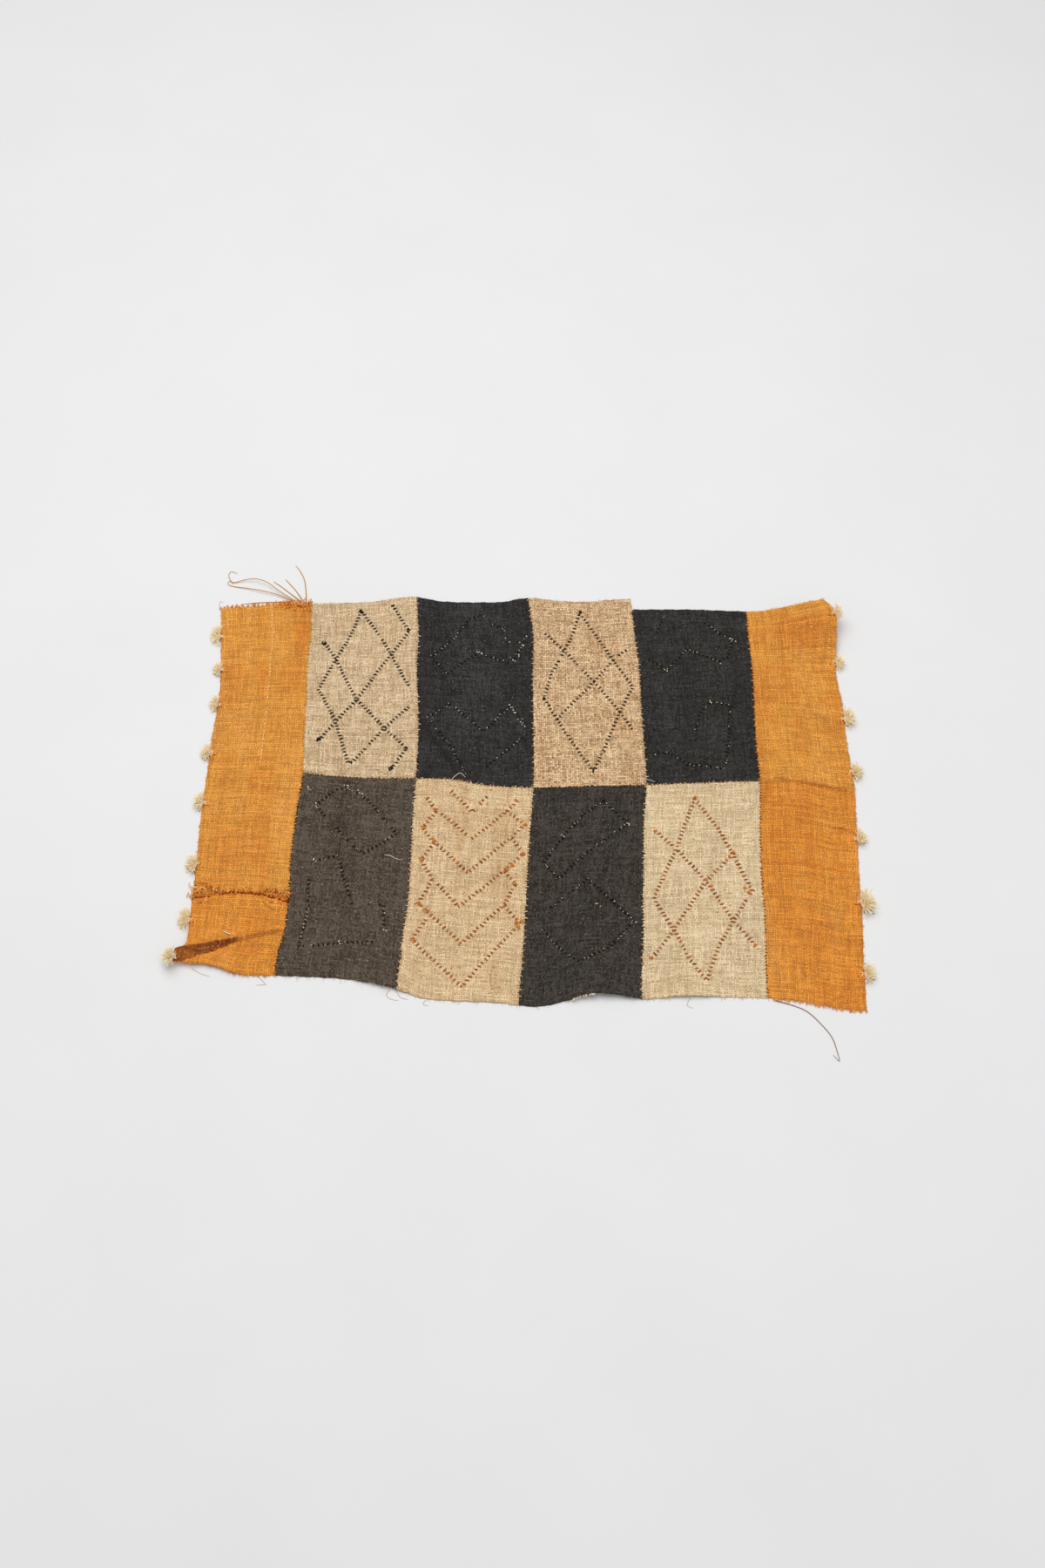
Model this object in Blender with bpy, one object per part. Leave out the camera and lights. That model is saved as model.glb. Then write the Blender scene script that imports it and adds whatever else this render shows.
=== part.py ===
"""Kuba raffia cloth: eight raffia squares between two dyed borders, lying on a floor.

Millimetres in the tables, metres in the solids. +X runs along the cloth's long side,
+Y towards its back edge, +Z up. The floor is z = 0. The back edge is the one with the
loose ends at its left.
"""

import math
import random

import bmesh
import bpy
from mathutils import Matrix, Vector

MM = 0.001
CLOTH_THICK = 1.5
SEAM_GAP = 0.3

# Lengthwise lines of the cloth: x of each edge and seam at a distance y.
LENGTHWISE = (
    # y, left edge, seam 1, seam 2, seam 3, seam 4, seam 5, right edge
    (240, -313, -221, -114, -2, 101, 217, 284),
    (229, -312, -220, -113, -1, 102, 217, 292),
    (215, -309, -219, -112, 1, 103, 217, 303),
    (190, -307, -217, -110, 4, 105, 218, 304),
    (150, -303, -218, -110, 4, 109, 220, 302),
    (110, -301, -216, -107, 5, 110, 220, 306),
    (70, -303, -215, -105, 6, 112, 220, 307),
    (20, -304, -213, -105, 7, 114, 222, 311),
    (-30, -305, -216, -106, 5, 111, 220, 310),
    (-80, -304, -217, -106, 3, 110, 219, 309),
    (-115, -304, -216, -106, 2, 109, 220, 309),
    (-150, -304, -217, -109, 1, 109, 220, 308),
    (-175, -303, -221, -110, 0, 108, 219, 307),
    (-186, -314, -222, -111, -1, 107, 219, 307),
    (-225, -316, -223, -112, -3, 107, 219, 306),
)
# Crosswise lines: y at a distance x, from the left edge to the right edge.
BACK_EDGE = (
    # x, y, over the left border and the first three squares
    (-316, 219), (-280, 223), (-239, 227), (-191, 229), (-160, 231), (-130, 235),
    (-114, 237), (-85, 233), (-31, 233), (-2, 237), (56, 235), (81, 238), (104, 240),
)
BACK_EDGE_RIGHT = (
    # x, y, over the fourth square and the right border
    (100, 226), (154, 227), (217, 226), (266, 226), (293, 229),
)
MIDDLE_SEAM = (
    # x, y, where the back squares meet the front ones
    (-316, 22), (-213, 23), (-189, 20), (-142, 18), (-73, 18), (-38, 12), (7, 10),
    (60, 13), (114, 15), (177, 19), (222, 21), (262, 22), (289, 15), (313, 13),
)
LEFT_JOIN = (
    # x, y, where the left border's two lengths meet, carried on across the cloth
    (-316, -109), (-289, -112), (-255, -111), (-216, -114), (0, -115), (313, -115),
)
FRONT_EDGE = (
    # x, y, over the whole front edge
    (-316, -186), (-300, -186), (-281, -187), (-256, -195), (-223, -196), (-163, -198),
    (-139, -202), (-111, -209), (-86, -217), (-20, -220), (14, -223), (40, -217),
    (61, -212), (83, -212), (107, -214), (148, -211), (219, -211), (246, -213),
    (268, -217), (289, -221), (313, -221),
)
# Cells across each strip between two lengthwise lines, and along each crosswise band.
STRIP_CELLS = (5, 7, 7, 7, 7, 5)
BAND_CELLS = (11, 7, 8)

# Ridges in the cloth: a crest from one end to the other, falling away on both sides.
RIDGES = (
    # x1, y1, height 1, x2, y2, height 2, width behind, width in front
    (-301, -175, 10.5, -228, -151, 2.0, 30.0, 9.5),
)
RIDGE_RUN_ON = 0.2
RIDGE_FADE = 12.0
# Lifts in the cloth: a smooth mound that ends at its own outline.
LIFTS = (
    # x, y, half length, half width, turned, height
    (298, 232, 78.0, 78.0, 0, 18.0),
    (-300, -190, 62.0, 24.0, -8, 4.0),
    (74, -216, 44.0, 52.0, 0, 5.5),
    (150, -214, 30.0, 34.0, 0, 3.0),
    (-126, -208, 30.0, 34.0, 0, 3.0),
    (-128, 238, 34.0, 26.0, 0, 2.5),
    (-2, 240, 30.0, 26.0, 0, 2.5),
)

# Panels: the strip it fills, its first and last band, its colour.
PANELS = (
    # name, strip, first band, last band, material
    ("border_left_back", 0, 0, 1, "orange_raffia"),
    ("border_left_front", 0, 2, 2, "deep_orange_raffia"),
    ("field_back_1", 1, 0, 0, "beige_raffia"),
    ("field_back_2", 2, 0, 0, "black_raffia"),
    ("field_back_3", 3, 0, 0, "tan_raffia"),
    ("field_back_4", 4, 0, 0, "black_raffia"),
    ("field_front_1", 1, 1, 2, "grey_raffia"),
    ("field_front_2", 2, 1, 2, "sand_raffia"),
    ("field_front_3", 3, 1, 2, "dark_raffia"),
    ("field_front_4", 4, 1, 2, "pale_raffia"),
    ("border_right_back", 5, 0, 0, "orange_raffia"),
    ("border_right_front", 5, 1, 2, "deep_orange_raffia"),
)

# Pompoms on the two ends of the cloth.
POMPOMS = (
    # name, side, y, radius, reach outwards, turn about the outward line
    ("pompom_left_1", -1, 187, 9.5, 10.5, 10),
    ("pompom_left_2", -1, 144, 8.0, 6.5, 48),
    ("pompom_left_3", -1, 101, 8.0, 7.0, 95),
    ("pompom_left_4", -1, 45, 9.0, 7.5, 150),
    ("pompom_left_5", -1, -13, 9.0, 8.0, 20),
    ("pompom_left_6", -1, -77, 10.0, 9.5, 70),
    ("pompom_left_7", -1, -138, 9.0, 10.5, 120),
    ("pompom_left_8", -1, -182, 9.0, 11.0, 175),
    ("pompom_right_1", 1, 216, 8.5, 9.0, 35),
    ("pompom_right_2", 1, 164, 9.5, 8.0, 80),
    ("pompom_right_3", 1, 97, 10.5, 11.0, 130),
    ("pompom_right_4", 1, 34, 9.0, 9.5, 5),
    ("pompom_right_5", 1, -42, 8.0, 8.5, 60),
    ("pompom_right_6", 1, -110, 12.5, 13.5, 110),
    ("pompom_right_7", 1, -183, 10.0, 9.5, 165),
)
# Shares of a pompom's radius or reach: its core's size and place, and its height.
POMPOM_CORE = 0.5
POMPOM_OUT = 0.18
POMPOM_CENTRE = 0.32
POMPOM_UP = 0.72
# Locks: how far inwards one may point, its length, its middle ring and its taper.
LOCK_INWARDS = -0.3
LOCK_LENGTH = (0.88, 1.06)
LOCK_SHORTEST = 1.0
LOCK_MIDDLE = 0.62
LOCK_TAPER = (0.95, 0.78)
LOCK_FLOOR = 0.7

# Frayed ruff along the left border's join.
RUFF_LOCKS = 24
RUFF_ENDS = (-301, -219)
RUFF_WIDTH = 2.2
RUFF_HEIGHT = 1.8
RUFF_REACH = (2.2, 3.6)
RUFF_LEAN = 1.0
RUFF_RISE = 0.15
RUFF_TAPER = 0.72

# Loose raffia ends on the floor, each as x, y, height of its underside.
STRAND_WIDE = 0.9
STRAND_THICK = 0.8
LOOSE_BACK = (
    ((-236, 230.8, 1.0), (-253, 242, 3.0), (-265, 251, 4.5), (-277, 256, 4.0),
     (-289, 256, 2.0), (-301, 254, 0.0), (-306, 263, 0.0), (-304, 268, 0.0), (-298, 266, 0.0)),
    ((-238, 230.5, 1.0), (-255, 238, 2.0), (-270, 242, 2.5), (-285, 246, 1.0),
     (-300, 249, 0.0), (-306, 252, 0.0)),
    ((-231, 231, 1.0), (-243, 242, 0.0), (-252, 250, 0.0), (-260, 256, 0.0)),
    ((-225, 230.8, 1.0), (-226, 243, 0.0), (-229, 259, 0.0), (-234, 270, 0.0), (-239, 277, 0.0)),
    ((-228, 231, 1.0), (-236, 244, 0.0), (-243, 253, 0.0), (-248, 259, 0.0)),
    ((-239, 230.3, 1.0), (-256, 229.5, 0.0), (-272, 228.5, 0.0), (-290, 226, 0.0)),
)
CLUMP_BACK = (-233, 229.9, 12.0, 2.4, 1.5)
LOOSE_FRONT = (
    ((226, -213.4, 0.8), (242, -218, 0.0), (254, -224, 0.0), (266, -237, 0.0),
     (274, -249, 0.0), (278, -264, 0.0), (279, -272, 0.0), (274, -266, 0.0)),
)
CLUMP_FRONT = (226, -213.2, 3.0, 1.7, 1.3)
STRAND_STEP = 8.0
STRAND_PROBE = 0.5

# Colours are linear red, green, blue; then roughness.
COLOURS = {
    "beige_raffia": ((0.58, 0.42, 0.25), 0.82),
    "black_raffia": ((0.036, 0.032, 0.031), 0.80),
    "tan_raffia": ((0.56, 0.37, 0.21), 0.82),
    "grey_raffia": ((0.085, 0.067, 0.052), 0.80),
    "sand_raffia": ((0.62, 0.44, 0.25), 0.82),
    "dark_raffia": ((0.049, 0.042, 0.035), 0.80),
    "pale_raffia": ((0.64, 0.50, 0.30), 0.82),
    "orange_raffia": ((0.66, 0.27, 0.05), 0.78),
    "deep_orange_raffia": ((0.65, 0.245, 0.04), 0.78),
    "ruff_raffia": ((0.50, 0.16, 0.022), 0.80),
    "cream_raffia": ((0.70, 0.53, 0.32), 0.85),
    "straw_raffia": ((0.52, 0.33, 0.17), 0.80),
}


def smooth(stations, at):
    """Value at a place on a smooth line through (place, value) stations, in any order."""
    stations = sorted(stations)
    last = len(stations) - 1
    at = min(max(at, stations[0][0]), stations[last][0])
    low = 0
    while low < last - 1 and at > stations[low + 1][0]:
        low += 1

    def slope(k):
        a, b = stations[max(k - 1, 0)], stations[min(k + 1, last)]
        return (b[1] - a[1]) / (b[0] - a[0])

    (place, value), (next_place, next_value) = stations[low], stations[low + 1]
    span = next_place - place
    t = (at - place) / span
    rise = t * t * (3 - 2 * t)
    start = slope(low) * span * t * (1 - t) ** 2
    end = slope(low + 1) * span * t * t * (t - 1)
    return value + (next_value - value) * rise + start + end


def lengthwise_x(line, y):
    return smooth([(row[0], row[line + 1]) for row in LENGTHWISE], y)


def crosswise_y(line, strip, x):
    lines = (BACK_EDGE_RIGHT if strip > 3 else BACK_EDGE, MIDDLE_SEAM, LEFT_JOIN, FRONT_EDGE)
    return smooth(lines[line], x)


def mound(r):
    return (1 - r * r) ** 2 if abs(r) < 1 else 0.0


def relief(x, y):
    """Height of the cloth's underside over the floor."""
    height = 0.0
    for x1, y1, h1, x2, y2, h2, behind, front in RIDGES:
        crest = Vector((x2 - x1, y2 - y1))
        run = crest.normalized()
        away = Vector((x - x1, y - y1))
        along = away.dot(run) / crest.length
        aside = away.dot(Vector((-run.y, run.x)))
        top = h1 + (h2 - h1) * min(max(along, -RIDGE_RUN_ON), 1 + RIDGE_RUN_ON)
        past = max(along - 1, 0.0) * crest.length / RIDGE_FADE
        height += max(top, 0.0) * mound(past) * mound(aside / (behind if aside > 0 else front))
    for cx, cy, length, width, turned, top in LIFTS:
        turn = Matrix.Rotation(math.radians(-turned), 2)
        a, b = turn @ Vector((x - cx, y - cy))
        height += top * mound(math.hypot(a / length, b / width))
    return height


def lattice(strip, across, band, along):
    """Point of the cloth in a strip and a band, each fraction from 0 to 1."""
    y = crosswise_y(band, strip, lengthwise_x(strip, 0))
    x = 0.0
    for _ in range(6):
        left = lengthwise_x(strip, y)
        x = left + (lengthwise_x(strip + 1, y) - left) * across
        near = crosswise_y(band, strip, x)
        y = near + (crosswise_y(band + 1, strip, x) - near) * along
    return x, y


def clear_scene():
    for thing in list(bpy.data.objects):
        bpy.data.objects.remove(thing, do_unlink=True)


def make_material(name):
    colour, rough = COLOURS[name]
    material = bpy.data.materials.new(name)
    material.use_nodes = True
    shader = material.node_tree.nodes["Principled BSDF"]
    shader.inputs["Base Color"].default_value = (*colour, 1.0)
    shader.inputs["Roughness"].default_value = rough
    shader.inputs["Metallic"].default_value = 0.0
    material.diffuse_color = (*colour, 1.0)
    return material


def add_object(name, bm, material, collection):
    """Object from a mesh in millimetres, facing outwards."""
    bmesh.ops.recalc_face_normals(bm, faces=bm.faces)
    if bm.calc_volume(signed=True) < 0:
        bmesh.ops.reverse_faces(bm, faces=bm.faces)
    bmesh.ops.scale(bm, vec=(MM, MM, MM), verts=bm.verts)
    mesh = bpy.data.meshes.new(name)
    bm.to_mesh(mesh)
    bm.free()
    thing = bpy.data.objects.new(name, mesh)
    thing.data.materials.append(material)
    collection.objects.link(thing)
    return thing


def thicken(bm, thick):
    """Gives an open sheet its thickness, straight up from its underside."""
    grown = bmesh.ops.extrude_face_region(bm, geom=bm.faces[:])
    top = [part for part in grown["geom"] if isinstance(part, bmesh.types.BMVert)]
    bmesh.ops.translate(bm, vec=(0, 0, thick), verts=top)


def panel_mesh(strip, first, last):
    """One sewn length of cloth, short of its seams by half the gap."""
    bands = [(band, row / cells) for band in range(first, last + 1)
             for cells in (BAND_CELLS[band],) for row in range(cells)]
    bands.append((last, 1.0))
    rows = len(bands) - 1
    cells = STRIP_CELLS[strip]
    bm = bmesh.new()
    bmesh.ops.create_grid(bm, x_segments=cells, y_segments=rows, size=1.0)
    for vert in bm.verts:
        column = round((vert.co.x + 1) / 2 * cells)
        row = round((1 - vert.co.y) / 2 * rows)
        x, y = lattice(strip, column / cells, *bands[row])
        height = relief(x, y)
        x += SEAM_GAP / 2 * ((column == 0) - (column == cells))
        y += SEAM_GAP / 2 * ((row == rows) - (row == 0))
        vert.co = (x, y, height)
    thicken(bm, CLOTH_THICK)
    return bm


def edge_x(side, y):
    """x of the cloth's outer edge, along the straight cells of its solid."""
    strip, across = (0, 0.0) if side < 0 else (5, 1.0)
    points = [lattice(strip, across, band, row / cells)
              for band, cells in enumerate(BAND_CELLS) for row in range(cells + 1)]
    for (x1, y1), (x2, y2) in zip(points, points[1:]):
        if y2 < y1 and y2 <= y <= y1:
            return x1 + (x2 - x1) * (y1 - y) / (y1 - y2)
    return points[0][0] if y > points[0][1] else points[-1][0]


def pompom_mesh(side, y, radius, reach, turned, seed):
    """A tuft of raffia locks that fan out from a core at the cloth's edge."""
    rand = random.Random(seed)
    base = relief(edge_x(side, y), y)
    floor = -base
    size = Vector((reach * (1 - POMPOM_OUT), radius, radius * POMPOM_UP))
    centre = Vector((reach * POMPOM_OUT, 0.0, radius * POMPOM_CENTRE))
    bm = bmesh.new()
    bmesh.ops.create_icosphere(bm, subdivisions=1, radius=1.0)
    bmesh.ops.rotate(bm, verts=bm.verts, matrix=Matrix.Rotation(math.radians(turned), 3, "X"))
    ways = {face: face.calc_center_median().normalized() for face in bm.faces}
    for vert in bm.verts:
        vert.co = centre + Vector(a * b * POMPOM_CORE for a, b in zip(vert.co, size))
    for face, way in ways.items():
        if way.x < LOCK_INWARDS:
            continue
        length = rand.uniform(*LOCK_LENGTH)
        tip = centre + Vector(a * b * length for a, b in zip(way, size))
        if tip.z < floor + LOCK_FLOOR:
            share = (centre.z - floor - LOCK_FLOOR) / (centre.z - tip.z)
            tip = centre.lerp(tip, max(share, 0.0))
        root = face.calc_center_median()
        if (tip - root).dot(way) < LOCK_SHORTEST:
            continue
        for share, taper in zip((LOCK_MIDDLE, 1.0), LOCK_TAPER):
            face = bmesh.ops.extrude_discrete_faces(bm, faces=[face])["faces"][0]
            here = face.calc_center_median()
            goal = root.lerp(tip, share)
            for vert in face.verts:
                vert.co = goal + (vert.co - here) * taper
    for vert in bm.verts:
        along = y + vert.co.y
        out = max(vert.co.x, 0.0) + SEAM_GAP
        vert.co = (edge_x(side, along) + side * out, along, base + max(vert.co.z, floor))
    return bm


def ruff_mesh():
    """Raw ends that stand up in a ridge along the join, its locks to both sides."""
    rand = random.Random(11)
    bm = bmesh.new()
    bmesh.ops.create_grid(bm, x_segments=RUFF_LOCKS, y_segments=1, size=1.0)
    start, end = RUFF_ENDS
    for vert in bm.verts:
        x = start + (end - start) * (vert.co.x + 1) / 2
        y = smooth(LEFT_JOIN, x) + vert.co.y * RUFF_WIDTH / 2
        vert.co = (x, y, CLOTH_THICK + SEAM_GAP)
    thicken(bm, RUFF_HEIGHT)
    bmesh.ops.recalc_face_normals(bm, faces=bm.faces)
    rows = {way: [face for face in bm.faces if face.normal.y * way > 0.7] for way in (-1, 1)}
    for way, row in rows.items():
        row.sort(key=lambda side: side.calc_center_median().x)
        for face in row[way > 0::2]:
            reach = rand.uniform(*RUFF_REACH)
            lean = rand.uniform(-RUFF_LEAN, RUFF_LEAN)
            step = Vector((lean / 2, way * reach / 2, RUFF_RISE))
            for _ in range(2):
                face = bmesh.ops.extrude_discrete_faces(bm, faces=[face])["faces"][0]
                here = face.calc_center_median()
                for vert in face.verts:
                    vert.co = here + step + (vert.co - here) * RUFF_TAPER
    return bm


def strand_mesh(route):
    """A narrow strip of raffia along a route on the floor."""
    points = [Vector(point) for point in route]
    places = [0.0]
    for a, b in zip(points, points[1:]):
        places.append(places[-1] + (b - a).length)
    cells = round(places[-1] / STRAND_STEP) + len(route) // 3

    def point(at):
        return Vector(smooth(list(zip(places, [p[axis] for p in points])), at) for axis in range(3))

    bm = bmesh.new()
    bmesh.ops.create_grid(bm, x_segments=cells, y_segments=1, size=1.0)
    for vert in bm.verts:
        at = places[-1] * (vert.co.x + 1) / 2
        here = point(at)
        run = point(at + STRAND_PROBE) - point(at - STRAND_PROBE)
        aside = Vector((-run.y, run.x, 0)).normalized() * STRAND_WIDE / 2 * vert.co.y
        vert.co = here + aside
        vert.co.z = max(here.z, 0.0)
    thicken(bm, STRAND_THICK)
    return bm


def loose_ends(name, routes, clump, material, collection, helpers):
    """Loose raffia ends whose roots are fused into a clump by the cloth's edge."""
    x, y, long, wide, high = clump
    bm = bmesh.new()
    bmesh.ops.create_icosphere(bm, subdivisions=2, radius=1.0)
    bmesh.ops.scale(bm, vec=(long, wide, high), verts=bm.verts)
    bmesh.ops.translate(bm, vec=(x, y, high), verts=bm.verts)
    body = add_object(name, bm, material, collection)
    for number, route in enumerate(routes, 1):
        strand = add_object(f"{name}_strand_{number}", strand_mesh(route), material, helpers)
        strand.hide_render = True
        strand.display_type = "WIRE"
        join = body.modifiers.new("fuse", "BOOLEAN")
        join.operation = "UNION"
        join.solver = "EXACT"
        join.object = strand
    return body


def build():
    clear_scene()
    cloth = bpy.data.collections.new("kuba_raffia_cloth")
    helpers = bpy.data.collections.new("cutters")
    for collection in (cloth, helpers):
        bpy.context.scene.collection.children.link(collection)
    materials = {name: make_material(name) for name in COLOURS}
    for name, strip, first, last, material in PANELS:
        add_object(name, panel_mesh(strip, first, last), materials[material], cloth)
    for seed, (name, side, y, radius, reach, turned) in enumerate(POMPOMS):
        bm = pompom_mesh(side, y, radius, reach, turned, seed)
        add_object(name, bm, materials["cream_raffia"], cloth)
    add_object("seam_ruff_left", ruff_mesh(), materials["ruff_raffia"], cloth)
    straw = materials["straw_raffia"]
    loose_ends("loose_ends_back", LOOSE_BACK, CLUMP_BACK, straw, cloth, helpers)
    loose_ends("loose_end_front", LOOSE_FRONT, CLUMP_FRONT, straw, cloth, helpers)


build()
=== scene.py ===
import math

import bmesh
import bpy
import numpy as np
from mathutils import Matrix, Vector


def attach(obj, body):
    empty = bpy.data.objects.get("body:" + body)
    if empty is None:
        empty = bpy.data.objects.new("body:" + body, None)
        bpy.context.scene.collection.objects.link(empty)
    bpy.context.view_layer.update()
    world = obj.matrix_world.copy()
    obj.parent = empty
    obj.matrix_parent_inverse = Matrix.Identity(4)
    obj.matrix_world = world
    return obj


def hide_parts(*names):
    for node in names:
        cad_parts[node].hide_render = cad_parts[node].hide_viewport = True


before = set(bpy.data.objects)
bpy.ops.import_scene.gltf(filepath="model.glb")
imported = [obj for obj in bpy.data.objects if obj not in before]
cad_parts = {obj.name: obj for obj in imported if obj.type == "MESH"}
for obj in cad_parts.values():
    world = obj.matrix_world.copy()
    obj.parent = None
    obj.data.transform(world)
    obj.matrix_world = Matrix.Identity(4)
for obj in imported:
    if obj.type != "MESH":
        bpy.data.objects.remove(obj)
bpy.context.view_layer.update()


# Eight squares of raffia, four plain and four dyed black, in two rows of four.
# Each is a hand-woven cut of about 110 by 210 mm, butted against its neighbours and
# oversewn. They lie on the floor, a little uneven, drawn down at every seam.
MM = 0.001
THICK = 1.1
LIFT = 0.15
CELL = 1.9
SEAM_DIP = 0.4
SEAM_SOFT = 1.3
RAGGED = 0.45
RIDGE_SHARP = 1.15
# Where each crease's painted shade lies along it and behind its crest, and how faint it starts.
CREASE_PART = (-0.2, 1.02)
CREASE_BEHIND = 0.8
CREASE_FAINT = 0.72
EDGE_CELLS = (0.6, 1.5, 2.8)
LATTICE_ROUNDS = 6

LENGTHWISE = (
    # y, left edge, seam 1, seam 2, seam 3, seam 4, seam 5, right edge
    (240, -313, -221, -114, -2, 101, 217, 284),
    (229, -312, -220, -113, -1, 102, 217, 292),
    (215, -309, -219, -112, 1, 103, 217, 303),
    (190, -307, -217, -110, 4, 105, 218, 304),
    (150, -303, -218, -110, 4, 109, 220, 302),
    (110, -301, -216, -107, 5, 110, 220, 306),
    (70, -303, -215, -105, 6, 112, 220, 307),
    (20, -304, -213, -105, 7, 114, 222, 311),
    (-30, -305, -216, -106, 5, 111, 220, 310),
    (-80, -304, -217, -106, 3, 110, 219, 309),
    (-115, -304, -216, -106, 2, 109, 220, 309),
    (-150, -304, -217, -109, 1, 109, 220, 308),
    (-172, -304, -221, -110, 0, 108, 219, 307),
    (-177, -312, -221, -110, 0, 108, 219, 307),
    (-186, -314, -222, -111, -1, 107, 219, 307),
    (-225, -316, -223, -112, -3, 107, 219, 306),
)
BACK_EDGE = (
    # x, y, over the left border and the first three squares
    (-316, 219), (-280, 223), (-239, 227), (-191, 229), (-160, 231), (-130, 235),
    (-114, 237), (-85, 233), (-31, 233), (-2, 237), (56, 235), (81, 238), (104, 240),
)
BACK_EDGE_RIGHT = (
    # x, y, over the fourth square and the right border
    (100, 226), (154, 227), (217, 226), (266, 226), (293, 229),
)
MIDDLE_SEAM = (
    # x, y, where the back squares meet the front ones
    (-316, 22), (-213, 23), (-189, 20), (-142, 18), (-73, 18), (-38, 12), (7, 10),
    (60, 13), (114, 15), (177, 19), (222, 21), (262, 22), (289, 15), (313, 13),
)
LEFT_JOIN = (
    # x, y, where the left border's two lengths meet, carried on across the cloth
    (-316, -109), (-289, -112), (-255, -111), (-216, -114), (0, -115), (313, -115),
)
FRONT_EDGE = (
    # x, y, over the whole front edge
    (-316, -186), (-300, -186), (-281, -187), (-256, -195), (-223, -196), (-163, -198),
    (-139, -202), (-111, -209), (-86, -217), (-20, -220), (14, -223), (40, -217),
    (61, -212), (83, -212), (107, -214), (148, -211), (219, -211), (246, -213),
    (268, -217), (289, -221), (313, -221),
)
RIDGES = (
    # x1, y1, height 1, x2, y2, height 2, reach behind, in front 1 and 2, fade before and after, depth of
    # painted shade on the front face
    (-309, -175.4, 10.5, -260, -160.4, 3.4, 26.0, 10.5, 2.6, 60.0, 4.0, 1.0),
    (-258, -160.0, 2.6, -222, -149.0, 1.2, 11.0, 3.2, 3.4, 4.0, 14.0, 0.42),
    (246, 24, 1.0, 302, 12, 2.2, 11.0, 1.8, 1.8, 12.0, 12.0, 0.32),
    (258, -22, 1.5, 306, -34, 2.2, 12.0, 1.8, 1.8, 12.0, 12.0, 0.42),
    (-103, 89, 1.0, -66, 27, 2.0, 6.0, 3.2, 3.2, 6.0, 10.0, 1.0),
    (-107, 76, 0.8, -86, 86, 0.8, 5.0, 2.4, 2.4, 6.0, 6.0, 0.7),
    (128, 45, 1.0, 160, 36, 1.2, 8.0, 2.2, 2.2, 12.0, 12.0, 0.3),
    (60, -91, 0.9, 102, -134, 1.3, 6.0, 2.5, 2.5, 8.0, 8.0, 0.8),
    (33, -86, 1.5, 61, -59, 1.2, 4.0, 3.0, 3.0, 8.0, 8.0, 0.0),
    (20, -138, 0.9, 52, -177, 1.2, 6.0, 2.5, 2.5, 8.0, 8.0, 0.6),
)
LIFTS = (
    # x, y, half length, half width, turned, height
    (298, 232, 78.0, 78.0, 0, 18.0),
    (-300, -190, 62.0, 24.0, -8, 4.0),
    (74, -216, 44.0, 52.0, 0, 5.5),
    (150, -214, 30.0, 34.0, 0, 3.0),
    (-126, -208, 30.0, 34.0, 0, 3.0),
    (-128, 238, 34.0, 26.0, 0, 2.5),
    (-2, 240, 30.0, 26.0, 0, 2.5),
)
PATCHES = (
    # x, y, half length, half width, share of the darker colour; the first patch, below the lifted back-right
    # corner, is painted shade
    (276, 194, 42.0, 34.0, 0.9),
    (-224, 190, 9.0, 46.0, 0.8),
    (-292, 128, 22.0, 60.0, 0.4),
    (-270, -55, 40.0, 26.0, 0.4),
    (262, -150, 34.0, 50.0, 0.4),
)
SWELL = (
    # height, wave length, heading in degrees, start
    (0.28, 96.0, 12, 0.4),
    (0.22, 61.0, 78, 2.1),
    (0.16, 37.0, 131, 4.0),
    (0.10, 23.0, 48, 1.2),
)


def smooth(stations, at):
    """Values at places on a smooth line through (place, value) stations."""
    places, values = np.array(sorted(stations), float).T
    at = np.clip(at, places[0], places[-1])
    low = np.clip(np.searchsorted(places, at, side="right") - 1, 0, len(places) - 2)
    slopes = np.empty_like(values)
    slopes[1:-1] = (values[2:] - values[:-2]) / (places[2:] - places[:-2])
    slopes[0] = (values[1] - values[0]) / (places[1] - places[0])
    slopes[-1] = (values[-1] - values[-2]) / (places[-1] - places[-2])
    span = places[low + 1] - places[low]
    t = (at - places[low]) / span
    start = slopes[low] * span * t * (1 - t) ** 2
    end = slopes[low + 1] * span * t * t * (t - 1)
    return values[low] + (values[low + 1] - values[low]) * t * t * (3 - 2 * t) + start + end


def ragged(at, line):
    """Small unevenness of a hand-cut, hand-sewn edge."""
    waves = ((17.0, 0.5), (7.3, 0.35), (4.3, 0.3))
    return RAGGED * sum(share * np.sin(at * 2 * math.pi / wave + line * wave) for wave, share in waves)


def lengthwise_x(line, y):
    return smooth([(row[0], row[line + 1]) for row in LENGTHWISE], y) + ragged(y, line)


def crosswise_y(line, strip, x):
    lines = (BACK_EDGE_RIGHT if strip > 3 else BACK_EDGE, MIDDLE_SEAM, LEFT_JOIN, FRONT_EDGE)
    return smooth(lines[line], x) + ragged(x, line + 10)


def mound(r):
    return np.where(np.abs(r) < 1, (1 - np.minimum(r * r, 1.0)) ** 2, 0.0)


def beside(x, y, x1, y1, x2, y2):
    """How places lie by a ridge: its length, the share along it, and millimetres aside of it."""
    length = math.hypot(x2 - x1, y2 - y1)
    run_x, run_y = (x2 - x1) / length, (y2 - y1) / length
    along = ((x - x1) * run_x + (y - y1) * run_y) / length
    return length, along, (y - y1) * run_x - (x - x1) * run_y


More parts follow.
